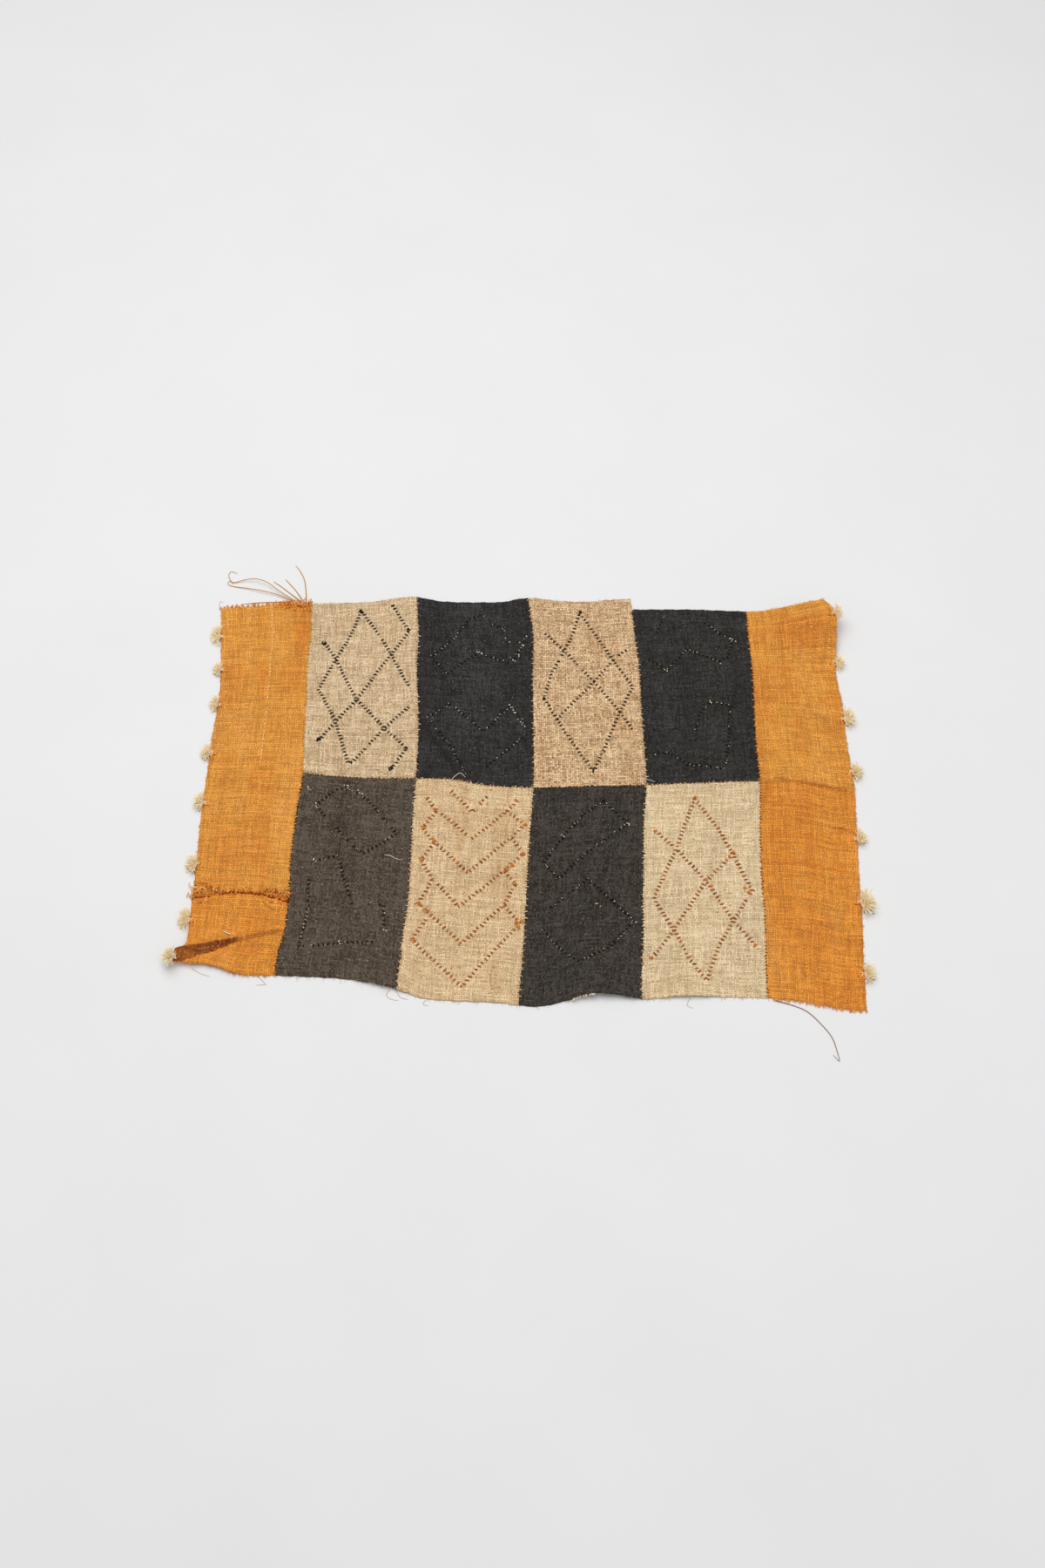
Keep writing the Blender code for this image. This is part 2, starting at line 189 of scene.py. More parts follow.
def relief(x, y):
    """Height of the cloth's underside over the floor, in millimetres."""
    height = np.full(np.shape(x), LIFT)
    for x1, y1, h1, x2, y2, h2, behind, front_1, front_2, before, after, _ in RIDGES:
        length, along, aside = beside(x, y, x1, y1, x2, y2)
        part = np.clip(along, 0, 1)
        past = np.maximum(along - 1, 0) * length / after + np.maximum(-along, 0) * length / before
        front = np.clip(1 + aside / (front_1 + (front_2 - front_1) * part), 0, 1) ** RIDGE_SHARP
        side = np.where(aside > 0, mound(aside / behind), front)
        height = height + (h1 + (h2 - h1) * part) * mound(past) * side
    for cx, cy, length, width, turned, top in LIFTS:
        c, s = math.cos(math.radians(turned)), math.sin(math.radians(turned))
        a = (x - cx) * c + (y - cy) * s
        b = (y - cy) * c - (x - cx) * s
        height = height + top * mound(np.hypot(a / length, b / width))
    for rise, wave, heading, start in SWELL:
        c, s = math.cos(math.radians(heading)), math.sin(math.radians(heading))
        height = height + rise * (0.5 + 0.5 * np.sin((x * c + y * s) * 2 * math.pi / wave + start))
    return height


def above(x, y, lift=0.0):
    """Places on the cloth's upper side, or a lift over it, in metres."""
    return np.column_stack((x, y, relief(x, y) + THICK + lift)) * MM


def fold_shade_share(x, y):
    """Share of painted shade in the creases: it darkens the steep front face of each."""
    share = np.zeros(np.shape(x))
    for x1, y1, _, x2, y2, _, _, front_1, front_2, _, _, deep in RIDGES:
        _, along, aside = beside(x, y, x1, y1, x2, y2)
        part = np.clip(along, 0, 1)
        wide = front_1 + (front_2 - front_1) * part
        face = (along > CREASE_PART[0]) & (along < CREASE_PART[1]) & (aside < CREASE_BEHIND) & (aside > -wide)
        share = np.maximum(share, face * deep * (CREASE_FAINT + (1 - CREASE_FAINT) * part))
    return share


def darker_patches(x, y):
    """Share of the darker colour in the patches; the first, below the lifted back-right corner, is painted
    shade.
    """
    return np.clip(sum(share * mound(np.hypot((x - cx) / length, (y - cy) / width))
                       for cx, cy, length, width, share in PATCHES), 0, 1)


def lattice(strip, first, last, across, along):
    """Places on a panel, from the fractions across it and from its back to its front."""
    y = crosswise_y(first, strip, lengthwise_x(strip, np.zeros_like(along)))
    x = np.zeros_like(y)
    for _ in range(LATTICE_ROUNDS):
        left = lengthwise_x(strip, y)
        x = left + (lengthwise_x(strip + 1, y) - left) * across
        back = crosswise_y(first, strip, x)
        y = back + (crosswise_y(last + 1, strip, x) - back) * along
    return x, y


def spread(length, cell):
    """Fractions along a side: even cells, with finer ones by the seams."""
    first, second, third = EDGE_CELLS
    inner = np.linspace(third, length - third, max(2, round(length / cell)))
    return np.concatenate(([0, first, second], inner, [length - second, length - first, length])) / length


def linked(name, data):
    """A new object of the scene, at the origin."""
    made = bpy.data.objects.new(name, data)
    bpy.context.scene.collection.objects.link(made)
    return made


def mesh_from(shape, name):
    """A mesh of a finished bmesh."""
    mesh = bpy.data.meshes.new(name)
    shape.to_mesh(mesh)
    shape.free()
    return mesh


def woven_sheet(number, node, strip, first, last, slot, cloth, cell=CELL):
    """A thin woven sheet over one panel, laid on the floor, with its cloth coordinates in metres."""
    ends = np.array([0.0, 1.0, 0.5, 0.5]), np.array([0.5, 0.5, 0.0, 1.0])
    x, y = lattice(strip, first, last, *ends)
    width, length = x[1] - x[0], y[2] - y[3]
    columns, rows = spread(width, cell), spread(length, cell)
    grid = bmesh.new()
    bmesh.ops.create_grid(grid, x_segments=len(columns) - 1, y_segments=len(rows) - 1, size=1.0)
    mesh = mesh_from(grid, f"raffia_{node}")
    co = np.empty(len(mesh.vertices) * 3)
    mesh.vertices.foreach_get("co", co)
    co = co.reshape(-1, 3)
    across = columns[np.rint((co[:, 0] + 1) / 2 * (len(columns) - 1)).astype(int)]
    along = rows[np.rint((1 - co[:, 1]) / 2 * (len(rows) - 1)).astype(int)]
    x, y = lattice(strip, first, last, across, along)
    inside = np.minimum(np.minimum(across, 1 - across) * width, np.minimum(along, 1 - along) * length)
    mesh.vertices.foreach_set("co", above(x, y, -SEAM_DIP * np.exp(-(inside / SEAM_SOFT) ** 2)).ravel())
    corners = np.empty(len(mesh.loops), int)
    mesh.loops.foreach_get("vertex_index", corners)
    flat = np.column_stack((across * width + number * 131, along * length + number * 77)) * MM
    mesh.uv_layers.new(name="cloth").data.foreach_set("uv", flat[corners].ravel())
    # Masks for the cloth's colour: painted shade on the creases' front faces, and darker patches.
    for name, values in (("painted_fold_shade", fold_shade_share(x, y)), ("dye", darker_patches(x, y))):
        mesh.attributes.new(name, "FLOAT", "POINT").data.foreach_set("value", values)
    mesh.shade_smooth()
    mesh.update()
    mesh.materials.append(cloth)
    sheet = linked(f"raffia_{node}", mesh)
    solid = sheet.modifiers.new("thickness", "SOLIDIFY")
    solid.thickness = THICK * MM
    solid.offset = -1
    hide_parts(node)
    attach(sheet, "root")


def ink(red, green, blue):
    """Linear colour of a dye, given as a screen shows it."""
    return tuple(((c / 255 + 0.055) / 1.055) ** 2.4 for c in (red, green, blue)) + (1.0,)


def place(tree, kind, inputs=(), **settings):
    """Adds a node to a tree, sets it, and wires what comes into it."""
    node = tree.nodes.new(kind)
    for name, value in settings.items():
        setattr(node, name, value)
    for key, value in dict(inputs).items():
        if isinstance(value, bpy.types.NodeSocket):
            tree.links.new(value, node.inputs[key])
        else:
            node.inputs[key].default_value = value
    return node


def wire(tree, kind, inputs=(), **settings):
    """Adds a node to a tree and gives its first output."""
    return place(tree, kind, inputs, **settings).outputs[0]


def figure(tree, operation, *values):
    return wire(tree, "ShaderNodeMath", enumerate(values), operation=operation)


def times(tree, one, other):
    return figure(tree, "MULTIPLY", one, other)


def scaled(tree, value, by, plus):
    return figure(tree, "MULTIPLY_ADD", value, by, plus)


def spot(tree, x, y, z=0.0):
    return wire(tree, "ShaderNodeCombineXYZ", {"X": x, "Y": y, "Z": z})


def axes(tree, vector):
    return place(tree, "ShaderNodeSeparateXYZ", {0: vector}).outputs


def painted(tree, name):
    """Value of a mesh attribute."""
    return place(tree, "ShaderNodeAttribute", attribute_name=name).outputs["Fac"]


def dye(tree, share, first, second, way="MIX"):
    """Mix of two colours."""
    inputs = {"Factor": share, 6: first, 7: second}
    return place(tree, "ShaderNodeMix", inputs, data_type="RGBA", blend_type=way).outputs[2]


def cloud(tree, where, scale, detail=2.0):
    return wire(tree, "ShaderNodeTexNoise", {"Vector": where, "Scale": scale, "Detail": detail})


def ramp(tree, value, low, high, out_low=0.0, out_high=1.0):
    return wire(tree, "ShaderNodeMapRange", {"Value": value, 1: low, 2: high, 3: out_low, 4: out_high})


def new_material(name):
    """A material, its node tree and its shader's inputs."""
    material = bpy.data.materials.new(name)
    material.use_nodes = True
    tree = material.node_tree
    return material, tree, tree.nodes["Principled BSDF"].inputs


def new_group(name, kind, inputs, outputs):
    """A node group with named inputs and outputs, and its two end nodes."""
    tree = bpy.data.node_groups.new(name, kind)
    for title, value in inputs.items():
        socket = {float: "Float", int: "Int"}.get(type(value), value)
        made = tree.interface.new_socket(name=title, in_out="INPUT", socket_type=f"NodeSocket{socket}")
        if socket != value:
            made.default_value = value
    for title, socket in outputs.items():
        tree.interface.new_socket(name=title, in_out="OUTPUT", socket_type=f"NodeSocket{socket}")
    return tree, tree.nodes.new("NodeGroupInput").outputs, tree.nodes.new("NodeGroupOutput")


def weave_group():
    """Plain weave of split palm leaf: uneven flat threads that pass over and under."""
    shown = ("Height", "Tone", "Slub", "Speck", "Streak", "Haze")
    tree, given, out = new_group("raffia_weave", "ShaderNodeTree", {
        "Vector": "Vector", "Warp Pitch": 0.00135, "Weft Pitch": 0.002, "Wander": 0.0004, "Thread Tone": 1.0,
        "Cell Tone": 0.3, "Slub Share": 0.3, "Speck Share": 0.3}, dict.fromkeys(shown, "Float"))
    flat = axes(tree, given["Vector"])
    moved = wire(tree, "ShaderNodeVectorMath", {0: given["Vector"], 1: (3.1, 7.7, 0.0)})

    def counted(where, scale, at, pitch):
        """Places counted in threads, which wander a little."""
        drift = times(tree, figure(tree, "SUBTRACT", cloud(tree, where, scale), 0.5), 2.0)
        return figure(tree, "DIVIDE", scaled(tree, drift, given["Wander"], at), pitch)

    def drawn(across, along, start, detail=1.0):
        """Noise stretched along the cloth: features per metre across and along it."""
        at = spot(tree, times(tree, flat["X"], across), times(tree, flat["Y"], along), start)
        return cloud(tree, at, 1.0, detail)

    def flecked(noise, share, rarest, soft):
        """Marks where a noise is high, and more of them for a larger share."""
        low = scaled(tree, share, -0.2, rarest)
        return ramp(tree, noise, low, figure(tree, "ADD", low, soft))

    warp = counted(given["Vector"], 90.0, flat["X"], given["Warp Pitch"])
    weft = counted(moved, 110.0, flat["Y"], given["Weft Pitch"])
    end, pick = figure(tree, "FLOOR", warp), figure(tree, "FLOOR", weft)
    round_end, round_pick = (
        figure(tree, "SINE", times(tree, figure(tree, "FRACT", at), math.pi)) for at in (warp, weft))
    over = figure(tree, "FLOORED_MODULO", figure(tree, "ADD", end, pick), 2.0)
    end_up = times(tree, round_end, scaled(tree, round_pick, 0.5, 0.5))
    pick_up = times(tree, round_pick, scaled(tree, round_end, 0.5, 0.5))
    height = wire(tree, "ShaderNodeMix", {"Factor": over, 2: pick_up, 3: end_up})
    end_at = spot(tree, times(tree, end, 3.7), times(tree, flat["Y"], 45.0))
    pick_at = spot(tree, times(tree, flat["X"], 45.0), times(tree, pick, 4.3), 9.0)
    cell = wire(tree, "ShaderNodeTexWhiteNoise", {"Vector": spot(tree, end, pick)}, noise_dimensions="2D")
    pick_tone, end_tone = cloud(tree, pick_at, 1.0, 1.0), cloud(tree, end_at, 1.0, 1.0)
    on_top = wire(tree, "ShaderNodeMix", {"Factor": over, 2: pick_tone, 3: end_tone})
    both = times(tree, figure(tree, "ADD", pick_tone, end_tone), 0.5)
    tone = 0.5
    for noise, share in ((on_top, given["Thread Tone"]), (both, 0.15), (cell, given["Cell Tone"]),
                         (drawn(430.0, 560.0, 2.0), 0.1)):
        tone = scaled(tree, figure(tree, "SUBTRACT", noise, 0.5), share, tone)
    slub = flecked(drawn(110.0, 620.0, 0.0), given["Slub Share"], 0.70, 0.07)
    speck = flecked(drawn(430.0, 560.0, 5.0, 0.0), given["Speck Share"], 0.74, 0.05)
    streak = scaled(tree, drawn(420.0, 9.0, 4.0, 2.0), 0.45, times(tree, drawn(9.0, 380.0, 7.0, 2.0), 0.55))
    band = scaled(tree, drawn(48.0, 4.0, 11.0, 2.0), 0.45, times(tree, drawn(5.0, 60.0, 13.0, 2.0), 0.2))
    haze = scaled(tree, cloud(tree, given["Vector"], 19.0), 0.4, scaled(tree, band, 1.35, -0.14))
    for title, value in zip(shown, (height, tone, slub, speck, streak, haze)):
        tree.links.new(value, out.inputs[title])
    return tree


WEAVE = weave_group()
# Strength of the painted shade between the threads.
GAP_SHADE_SHARE = 0.7
TONES = (0.3, 0.7)
DARK_TINT = (0.85, 1.0, 1.2)
LIGHT_TINT = (0.9, 1.0, 1.15)


def raffia(name, inks, shares, pitch=(1.7, 2.0), grain=0.4, streak=0.12, thread=0.9, cell=0.3, shade_in_crease=None):
    """Woven raffia in one dye lot, matt, with its threads, slubs, specks and faded patches, and painted shade
    between its threads and on its creases.
    """
    base, gap_shade, slub, speck, haze, deep = (ink(*screen) for screen in inks)
    faded_share, deep_share, slub_share, speck_share = shares
    material, tree, shader = new_material(name)
    got = place(tree, "ShaderNodeGroup", {
        "Vector": wire(tree, "ShaderNodeUVMap", uv_map="cloth"), "Warp Pitch": pitch[0] * MM,
        "Weft Pitch": pitch[1] * MM, "Slub Share": slub_share, "Speck Share": speck_share,
        "Thread Tone": thread, "Cell Tone": cell}, node_tree=WEAVE).outputs
    faded = dye(tree, ramp(tree, got["Haze"], 0.5, 0.66, 0.0, faded_share), base, haze)
    faded = dye(tree, ramp(tree, got["Haze"], 0.36, 0.5, deep_share, 0.0), faded, deep)
    # Darker patches from the dye mask, the first of them painted shade below the lifted back-right corner.
    if shade_in_crease:
        faded = dye(tree, painted(tree, "dye"), faded, deep)
    # Painted shade between the threads: the gap colour is mixed in where the weave lies low.
    lined = dye(tree, ramp(tree, got["Height"], 0.1, 0.72, GAP_SHADE_SHARE, 0.0), faded, gap_shade)
    dark = tuple(1 - grain * k for k in DARK_TINT) + (1.0,)
    light = tuple(1 + grain * k for k in LIGHT_TINT) + (1.0,)
    lined = dye(tree, 1.0, lined, dye(tree, ramp(tree, got["Tone"], *TONES), dark, light), "MULTIPLY")
    lines = ramp(tree, got["Streak"], 0.35, 0.65, 1 - streak, 1 + streak)
    grey = wire(tree, "ShaderNodeCombineColor", {0: lines, 1: lines, 2: lines})
    lined = dye(tree, 1.0, lined, grey, "MULTIPLY")
    lined = dye(tree, got["Slub"], lined, slub)
    lined = dye(tree, got["Speck"], lined, speck)
    # Painted shade on the steep front faces of the creases, in the crease colour or, on the squares, the gap
    # colour.
    crease_shade_mix = times(tree, painted(tree, "painted_fold_shade"), ramp(tree, got["Tone"], *TONES, 1.0, 0.72))
    lined = dye(tree, crease_shade_mix, lined, ink(*shade_in_crease) if shade_in_crease else gap_shade)
    bump = wire(tree, "ShaderNodeBump", {"Height": got["Height"], "Distance": 0.32 * MM, "Strength": 0.45})
    for title, value in (("Base Color", lined), ("Normal", bump),
                         ("Roughness", ramp(tree, got["Height"], 0.0, 1.0, 0.92, 0.74))):
        tree.links.new(value, shader[title])
    shader["Specular IOR Level"].default_value = 0.3
    return material


SQUARES = (
    # node, strip, first band, last band, slot
    ("field_back_1", 1, 0, 0, "beige_raffia"),
    ("field_back_2", 2, 0, 0, "black_raffia"),
    ("field_back_3", 3, 0, 0, "tan_raffia"),
    ("field_back_4", 4, 0, 0, "black_raffia"),
    ("field_front_1", 1, 1, 2, "grey_raffia"),
    ("field_front_2", 2, 1, 2, "sand_raffia"),
    ("field_front_3", 3, 1, 2, "dark_raffia"),
    ("field_front_4", 4, 1, 2, "pale_raffia"),
)
BLACK_SHARES = (0.7, 0.6, 0.1, 0.02)
FIELD_CLOTH = {
    # node: name, screen colours of the base, painted shade between threads, slubs, specks, faded and deeper
    # patches, and shares of faded dye, deeper dye, slubs and specks
    "field_back_1": raffia("beige_raffia_cloth", (
        (218, 194, 157), (150, 112, 72), (180, 142, 100), (152, 108, 66), (216, 190, 152), (196, 164, 126)),
        (0.35, 0.38, 0.3, 0.12), grain=0.34, thread=1.0, cell=0.16),
    "field_back_2": raffia("black_raffia_cloth", (
        (43, 40, 39), (22, 20, 19), (64, 62, 60), (92, 88, 82), (58, 57, 57), (36, 32, 30)),
        BLACK_SHARES, grain=0.75),
    "field_back_3": raffia("tan_raffia_cloth", (
        (223, 192, 150), (124, 82, 46), (160, 114, 70), (126, 82, 46), (214, 178, 134), (196, 150, 102)),
        (0.35, 0.4, 0.35, 0.3), pitch=(1.9, 2.1), grain=0.4, thread=1.0, cell=0.2),
    "field_back_4": raffia("coal_raffia_cloth", (
        (44, 42, 39), (21, 20, 19), (62, 59, 55), (88, 82, 74), (56, 53, 50), (35, 31, 29)),
        BLACK_SHARES, grain=0.75),
    "field_front_1": raffia("grey_raffia_cloth", (
        (87, 75, 62), (42, 35, 29), (106, 95, 83), (132, 120, 104), (84, 75, 64), (66, 55, 45)),
        (0.6, 0.6, 0.12, 0.02), grain=0.55),
    "field_front_2": raffia("sand_raffia_cloth", (
        (226, 199, 158), (156, 116, 70), (186, 144, 98), (150, 104, 60), (222, 193, 148), (202, 163, 116)),
        (0.38, 0.48, 0.25, 0.1), pitch=(1.6, 1.9), grain=0.28, thread=1.0, cell=0.16),
    "field_front_3": raffia("dark_raffia_cloth", (
        (60, 53, 46), (28, 25, 22), (78, 72, 65), (106, 96, 84), (66, 56, 48), (46, 42, 39)),
        BLACK_SHARES, grain=0.7),
    "field_front_4": raffia("pale_raffia_cloth", (
        (227, 205, 168), (164, 132, 88), (192, 156, 110), (164, 122, 74), (228, 206, 162), (210, 184, 138)),
        (0.38, 0.4, 0.2, 0.1), pitch=(1.6, 1.8), grain=0.28, thread=1.0, cell=0.16),
}
for number, (node, *panel) in enumerate(SQUARES):
    woven_sheet(number, node, *panel, FIELD_CLOTH[node])


# Two borders of raffia dyed orange, each sewn from two lengths of the same narrow cloth.
# The left one is creased at its front corner, and the right one lifts at its back corner.
BORDERS = (
    # node, strip, first band, last band, slot
    ("border_left_back", 0, 0, 1, "orange_raffia"),
    ("border_left_front", 0, 2, 2, "deep_orange_raffia"),
    ("border_right_back", 5, 0, 0, "orange_raffia"),
    ("border_right_front", 5, 1, 2, "deep_orange_raffia"),
)
ORANGE_SHARES = (0.65, 0.6, 0.2, 0.0)
# The crease colour is the painted shade on the front face of the left border's fold.
ORANGE_WEAVE = {"grain": 0.26, "streak": 0.16, "shade_in_crease": (108, 34, 0), "thread": 1.05, "cell": 0.18}
FINE_CELL = 1.3
BORDER_CLOTH = {
    "orange_raffia": raffia("orange_raffia_cloth", (
        (228, 158, 63), (146, 72, 16), (190, 112, 38), (238, 178, 98), (234, 166, 82), (216, 130, 44)),
        ORANGE_SHARES, **ORANGE_WEAVE),
    "deep_orange_raffia": raffia("deep_orange_raffia_cloth", (
        (229, 150, 53), (142, 68, 14), (184, 102, 32), (236, 172, 90), (230, 158, 74), (212, 120, 36)),
        ORANGE_SHARES, **ORANGE_WEAVE),
}
for number, (node, strip, first, last, slot) in enumerate(BORDERS, len(SQUARES)):
    cell = FINE_CELL if node == "border_left_front" else CELL
    woven_sheet(number, node, strip, first, last, slot, BORDER_CLOTH[slot], cell)


# Stitched designs on the squares: rows of short raffia stitches laid across each line,
# black or rust on the pale squares, with knots where a thread starts or ends. On the
# black squares the stitches are black too, and only their pale ends catch the light.
def chance(tree, given, low, high):
    """A number, or three, drawn at random between two bounds for each item."""
    seed = {"Seed": given["Seed"]}
    if isinstance(low, tuple):
        return wire(tree, "FunctionNodeRandomValue", {0: low, 1: high, **seed}, data_type="FLOAT_VECTOR")
    return place(tree, "FunctionNodeRandomValue", {2: low, 3: high, **seed}).outputs[1]


def growth_group(name, **sizes):
    """A group that grows something on its host, with its sizes, seed and material as inputs."""
    inputs = {"Geometry": "Geometry", **sizes, "Seed": 1, "Material": "Material"}
    return new_group(name, "GeometryNodeTree", inputs, {"Geometry": "Geometry"})


def row_along(tree, given):
    """Points at an even pitch along the host's lines, and how each one faces."""
    line = wire(tree, "GeometryNodeMeshToCurve", {"Mesh": given["Geometry"]})
    inputs = {"Curve": line, "Length": given["Pitch"]}
    row = place(tree, "GeometryNodeCurveToPoints", inputs, mode="LENGTH").outputs
    facing = wire(tree, "FunctionNodeAlignRotationToVector", {"Vector": row["Tangent"]}, axis="X")
    return row["Points"], facing


def turned_by(tree, facing, x, y, z):
    """A rotation, turned further about its own axes."""
    spin = wire(tree, "FunctionNodeEulerToRotation", {0: spot(tree, x, y, z)})
    return wire(tree, "FunctionNodeRotateRotation", {0: facing, 1: spin}, rotation_space="LOCAL")


def copies(tree, given, out, points, item, turned, vary, core=None):
    """One mesh of copies of a shape on points, each with its own shade, kept above the floor."""
    inputs = {"Points": points, "Instance": item, "Rotation": turned, "Scale": vary}
    if "Kept" in given:
        odds = {"Probability": given["Kept"], "Seed": given["Seed"]}
        inputs["Selection"] = place(tree, "FunctionNodeRandomValue", odds, data_type="BOOLEAN").outputs[3]
    many = wire(tree, "GeometryNodeInstanceOnPoints", inputs)
    shade = {"Geometry": many, "Name": "shade", "Value": chance(tree, given, 0.0, 1.0)}
    many = wire(tree, "GeometryNodeStoreNamedAttribute", shade, data_type="FLOAT", domain="INSTANCE")
    made = wire(tree, "GeometryNodeRealizeInstances", {"Geometry": many})
    if "Floor" in given:
        here = axes(tree, wire(tree, "GeometryNodeInputPosition"))
        raised = spot(tree, here["X"], here["Y"], figure(tree, "MAXIMUM", here["Z"], given["Floor"]))
        made = wire(tree, "GeometryNodeSetPosition", {"Geometry": made, "Position": raised})
    if core is not None:
        both = place(tree, "GeometryNodeJoinGeometry")
        tree.links.new(core, both.inputs[0])
        tree.links.new(made, both.inputs[0])
        made = both.outputs[0]
    made = wire(tree, "GeometryNodeSetMaterial", {"Geometry": made, "Material": given["Material"]})
    tree.links.new(made, out.inputs[0])
    return tree


def stitch_group():
    """Short stitches set across a line at an even pitch, each a little askew."""
    tree, given, out = growth_group("stitch_row", Pitch=0.004, Length=0.003, Width=0.001, Height=0.0006,
                                    Turn=math.pi / 2, Askew=0.3, Kept=1.0, Shift=0.0002)
    points, facing = row_along(tree, given)
    turn = scaled(tree, chance(tree, given, -1.0, 1.0), given["Askew"], given["Turn"])
    turned = turned_by(tree, facing, 0.0, 0.0, turn)
    bead = wire(tree, "GeometryNodeMeshUVSphere", {"Segments": 6, "Rings": 4, "Radius": 0.5})
    size = spot(tree, given["Length"], given["Width"], given["Height"])
    stitch = wire(tree, "GeometryNodeTransform", {"Geometry": bead, "Scale": size})
    nudge = chance(tree, given, (-1.0, -1.0, 0.0), (1.0, 1.0, 0.0))
    nudge = wire(tree, "ShaderNodeVectorMath", {0: nudge, "Scale": given["Shift"]}, operation="SCALE")
    points = wire(tree, "GeometryNodeSetPosition", {"Geometry": points, "Offset": nudge})
    vary = chance(tree, given, (0.75, 0.8, 0.8), (1.2, 1.2, 1.15))
    return copies(tree, given, out, points, stitch, turned, vary)


STITCH_ROW = stitch_group()
SQUARE_OF = {node: panel for node, *panel, _ in SQUARES}
LENGTHS = ("Pitch", "Length", "Width", "Height", "Shift", "Thickness", "Bend", "Floor")
COURSE_STEPS = 90


def guide(courses):
    """A mesh of open lines for a row of stitches or threads to follow."""
    points, edges = [], []
    for course in courses:
        edges += [(len(points) + k, len(points) + k + 1) for k in range(len(course) - 1)]
        points += [tuple(point) for point in course]
    mesh = bpy.data.meshes.new("guide")
    mesh.from_pydata(points, edges, [])
    return linked("guide", mesh)


def grown(tree, name, slot, host, thread, seed, **sizes):
    """The plain mesh that a tree makes of courses or of a host, with lengths in millimetres."""
    host = guide(host) if isinstance(host, list) else host
    growth = host.modifiers.new("growth", "NODES")
    growth.node_group = tree
    names = {item.name: item.identifier for item in tree.interface.items_tree if item.item_type == "SOCKET"}
    for title, value in {**sizes, "Seed": seed, "Material": thread}.items():
        growth[names[title]] = value * MM if title in LENGTHS else value
    bpy.context.view_layer.update()
    seen = host.evaluated_get(bpy.context.evaluated_depsgraph_get())
    mesh = bpy.data.meshes.new_from_object(seen)
    mesh.name = name
    piece = linked(name, mesh)
    bpy.data.objects.remove(host, do_unlink=True)
    if tree is STITCH_ROW:
        mesh.shade_smooth()
    else:
        mesh.shade_flat()
    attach(piece, "root")
    return piece


def on_cloth(node, points, lift=0.0):
    """A course over a square through hundredths of its width and length, in metres."""
    points = np.array(points, float) / 100
    runs = [np.linspace(a, b, max(2, int(np.hypot(*(b - a)) * COURSE_STEPS)), endpoint=False)
            for a, b in zip(points, points[1:])]
    fine = np.vstack(runs + [points[-1:]])
    return above(*lattice(*SQUARE_OF[node], fine[:, 0], fine[:, 1]), lift)


def yarn(name, dark, light, rough=0.8):
    """Twisted raffia thread, lighter or darker from one end to the next."""
    material, tree, shader = new_material(name)
    grain = cloud(tree, place(tree, "ShaderNodeTexCoord").outputs["Object"], 900.0)
    mixed = scaled(tree, grain, 0.5, times(tree, painted(tree, "shade"), 0.6))
    tree.links.new(dye(tree, ramp(tree, mixed, 0.15, 0.9), ink(*dark), ink(*light)), shader["Base Color"])
    shader["Roughness"].default_value = rough
    shader["Specular IOR Level"].default_value = 0.15
    return material


BLACK_YARN = yarn("black_yarn", (10, 10, 11), (34, 31, 30))
SOOT_YARN = yarn("soot_yarn", (5, 5, 5), (20, 18, 16))
RUST_YARN = yarn("rust_yarn", (108, 52, 20), (182, 104, 50))
KNOT_YARN = yarn("knot_yarn", (168, 82, 20), (240, 160, 66))
PALE_YARN = yarn("pale_yarn", (200, 178, 136), (250, 240, 214))

DESIGNS = (
    # node, yarn, slot, pitch, stitch length, lines in hundredths of the square
    ("field_back_1", BLACK_YARN, "black_raffia", 4.0, 4.8, (
        ((47, 6), (26, 34), (11, 52), (27, 70), (39, 92), (43, 92), (70, 73), (91, 62)),
        ((48, 6), (76, 32), (92, 50)),
        ((77, 4), (91, 19), (76, 32), (45, 57), (27, 70), (13, 81)),
        ((14, 25), (26, 34), (45, 57), (70, 73), (90, 84), (78, 95)))),
    ("field_back_3", BLACK_YARN, "black_raffia", 4.4, 4.4, (
        ((49, 7), (76, 34), (93, 49), (80, 62), (53, 93), (28, 71), (10, 54),
         (18, 40), (30, 28), (36, 22), (49, 6)),
        ((12, 19), (30, 28), (57, 45), (80, 62), (90, 71)),
        ((89, 29), (76, 34), (57, 45), (27, 62), (22, 65)))),
    ("field_front_4", RUST_YARN, "ruff_raffia", 4.3, 5.0, (
        ((43, 8), (64, 23), (76, 35), (91, 52), (74, 66), (62, 77), (52, 93),
         (39, 84), (25, 70), (9, 55), (21, 40), (28, 32), (43, 8)),
        ((10, 23), (28, 32), (52, 47), (74, 66), (91, 77)),
        ((76, 35), (52, 48), (25, 70), (8, 82)))),
    ("field_front_2", RUST_YARN, "ruff_raffia", 4.4, 4.9, (
        ((31, 6), (50, 14), (61, 6)),
        ((11, 10), (19, 15), (51, 27), (79, 12), (87, 7)),
        ((79, 12), (95, 18), (85, 24), (49, 43), (19, 30), (9, 24), (19, 16)),
        ((85, 25), (95, 32), (81, 40), (43, 59), (19, 47), (9, 39), (19, 31)),
        ((81, 41), (90, 46), (82, 56), (49, 75), (17, 62), (9, 59), (19, 48)),
        ((82, 57), (96, 64), (65, 85), (53, 94), (32, 85), (8, 76), (17, 66)))),
)
for number, (node, thread, slot, pitch, length, lines) in enumerate(DESIGNS):
    courses = [on_cloth(node, line) for line in lines]
    grown(STITCH_ROW, f"stitching_{node}", slot, courses, thread, number + 3, Pitch=pitch, Length=length,
          Width=1.9, Height=1.6, Askew=0.35, Kept=0.98, Shift=0.3)

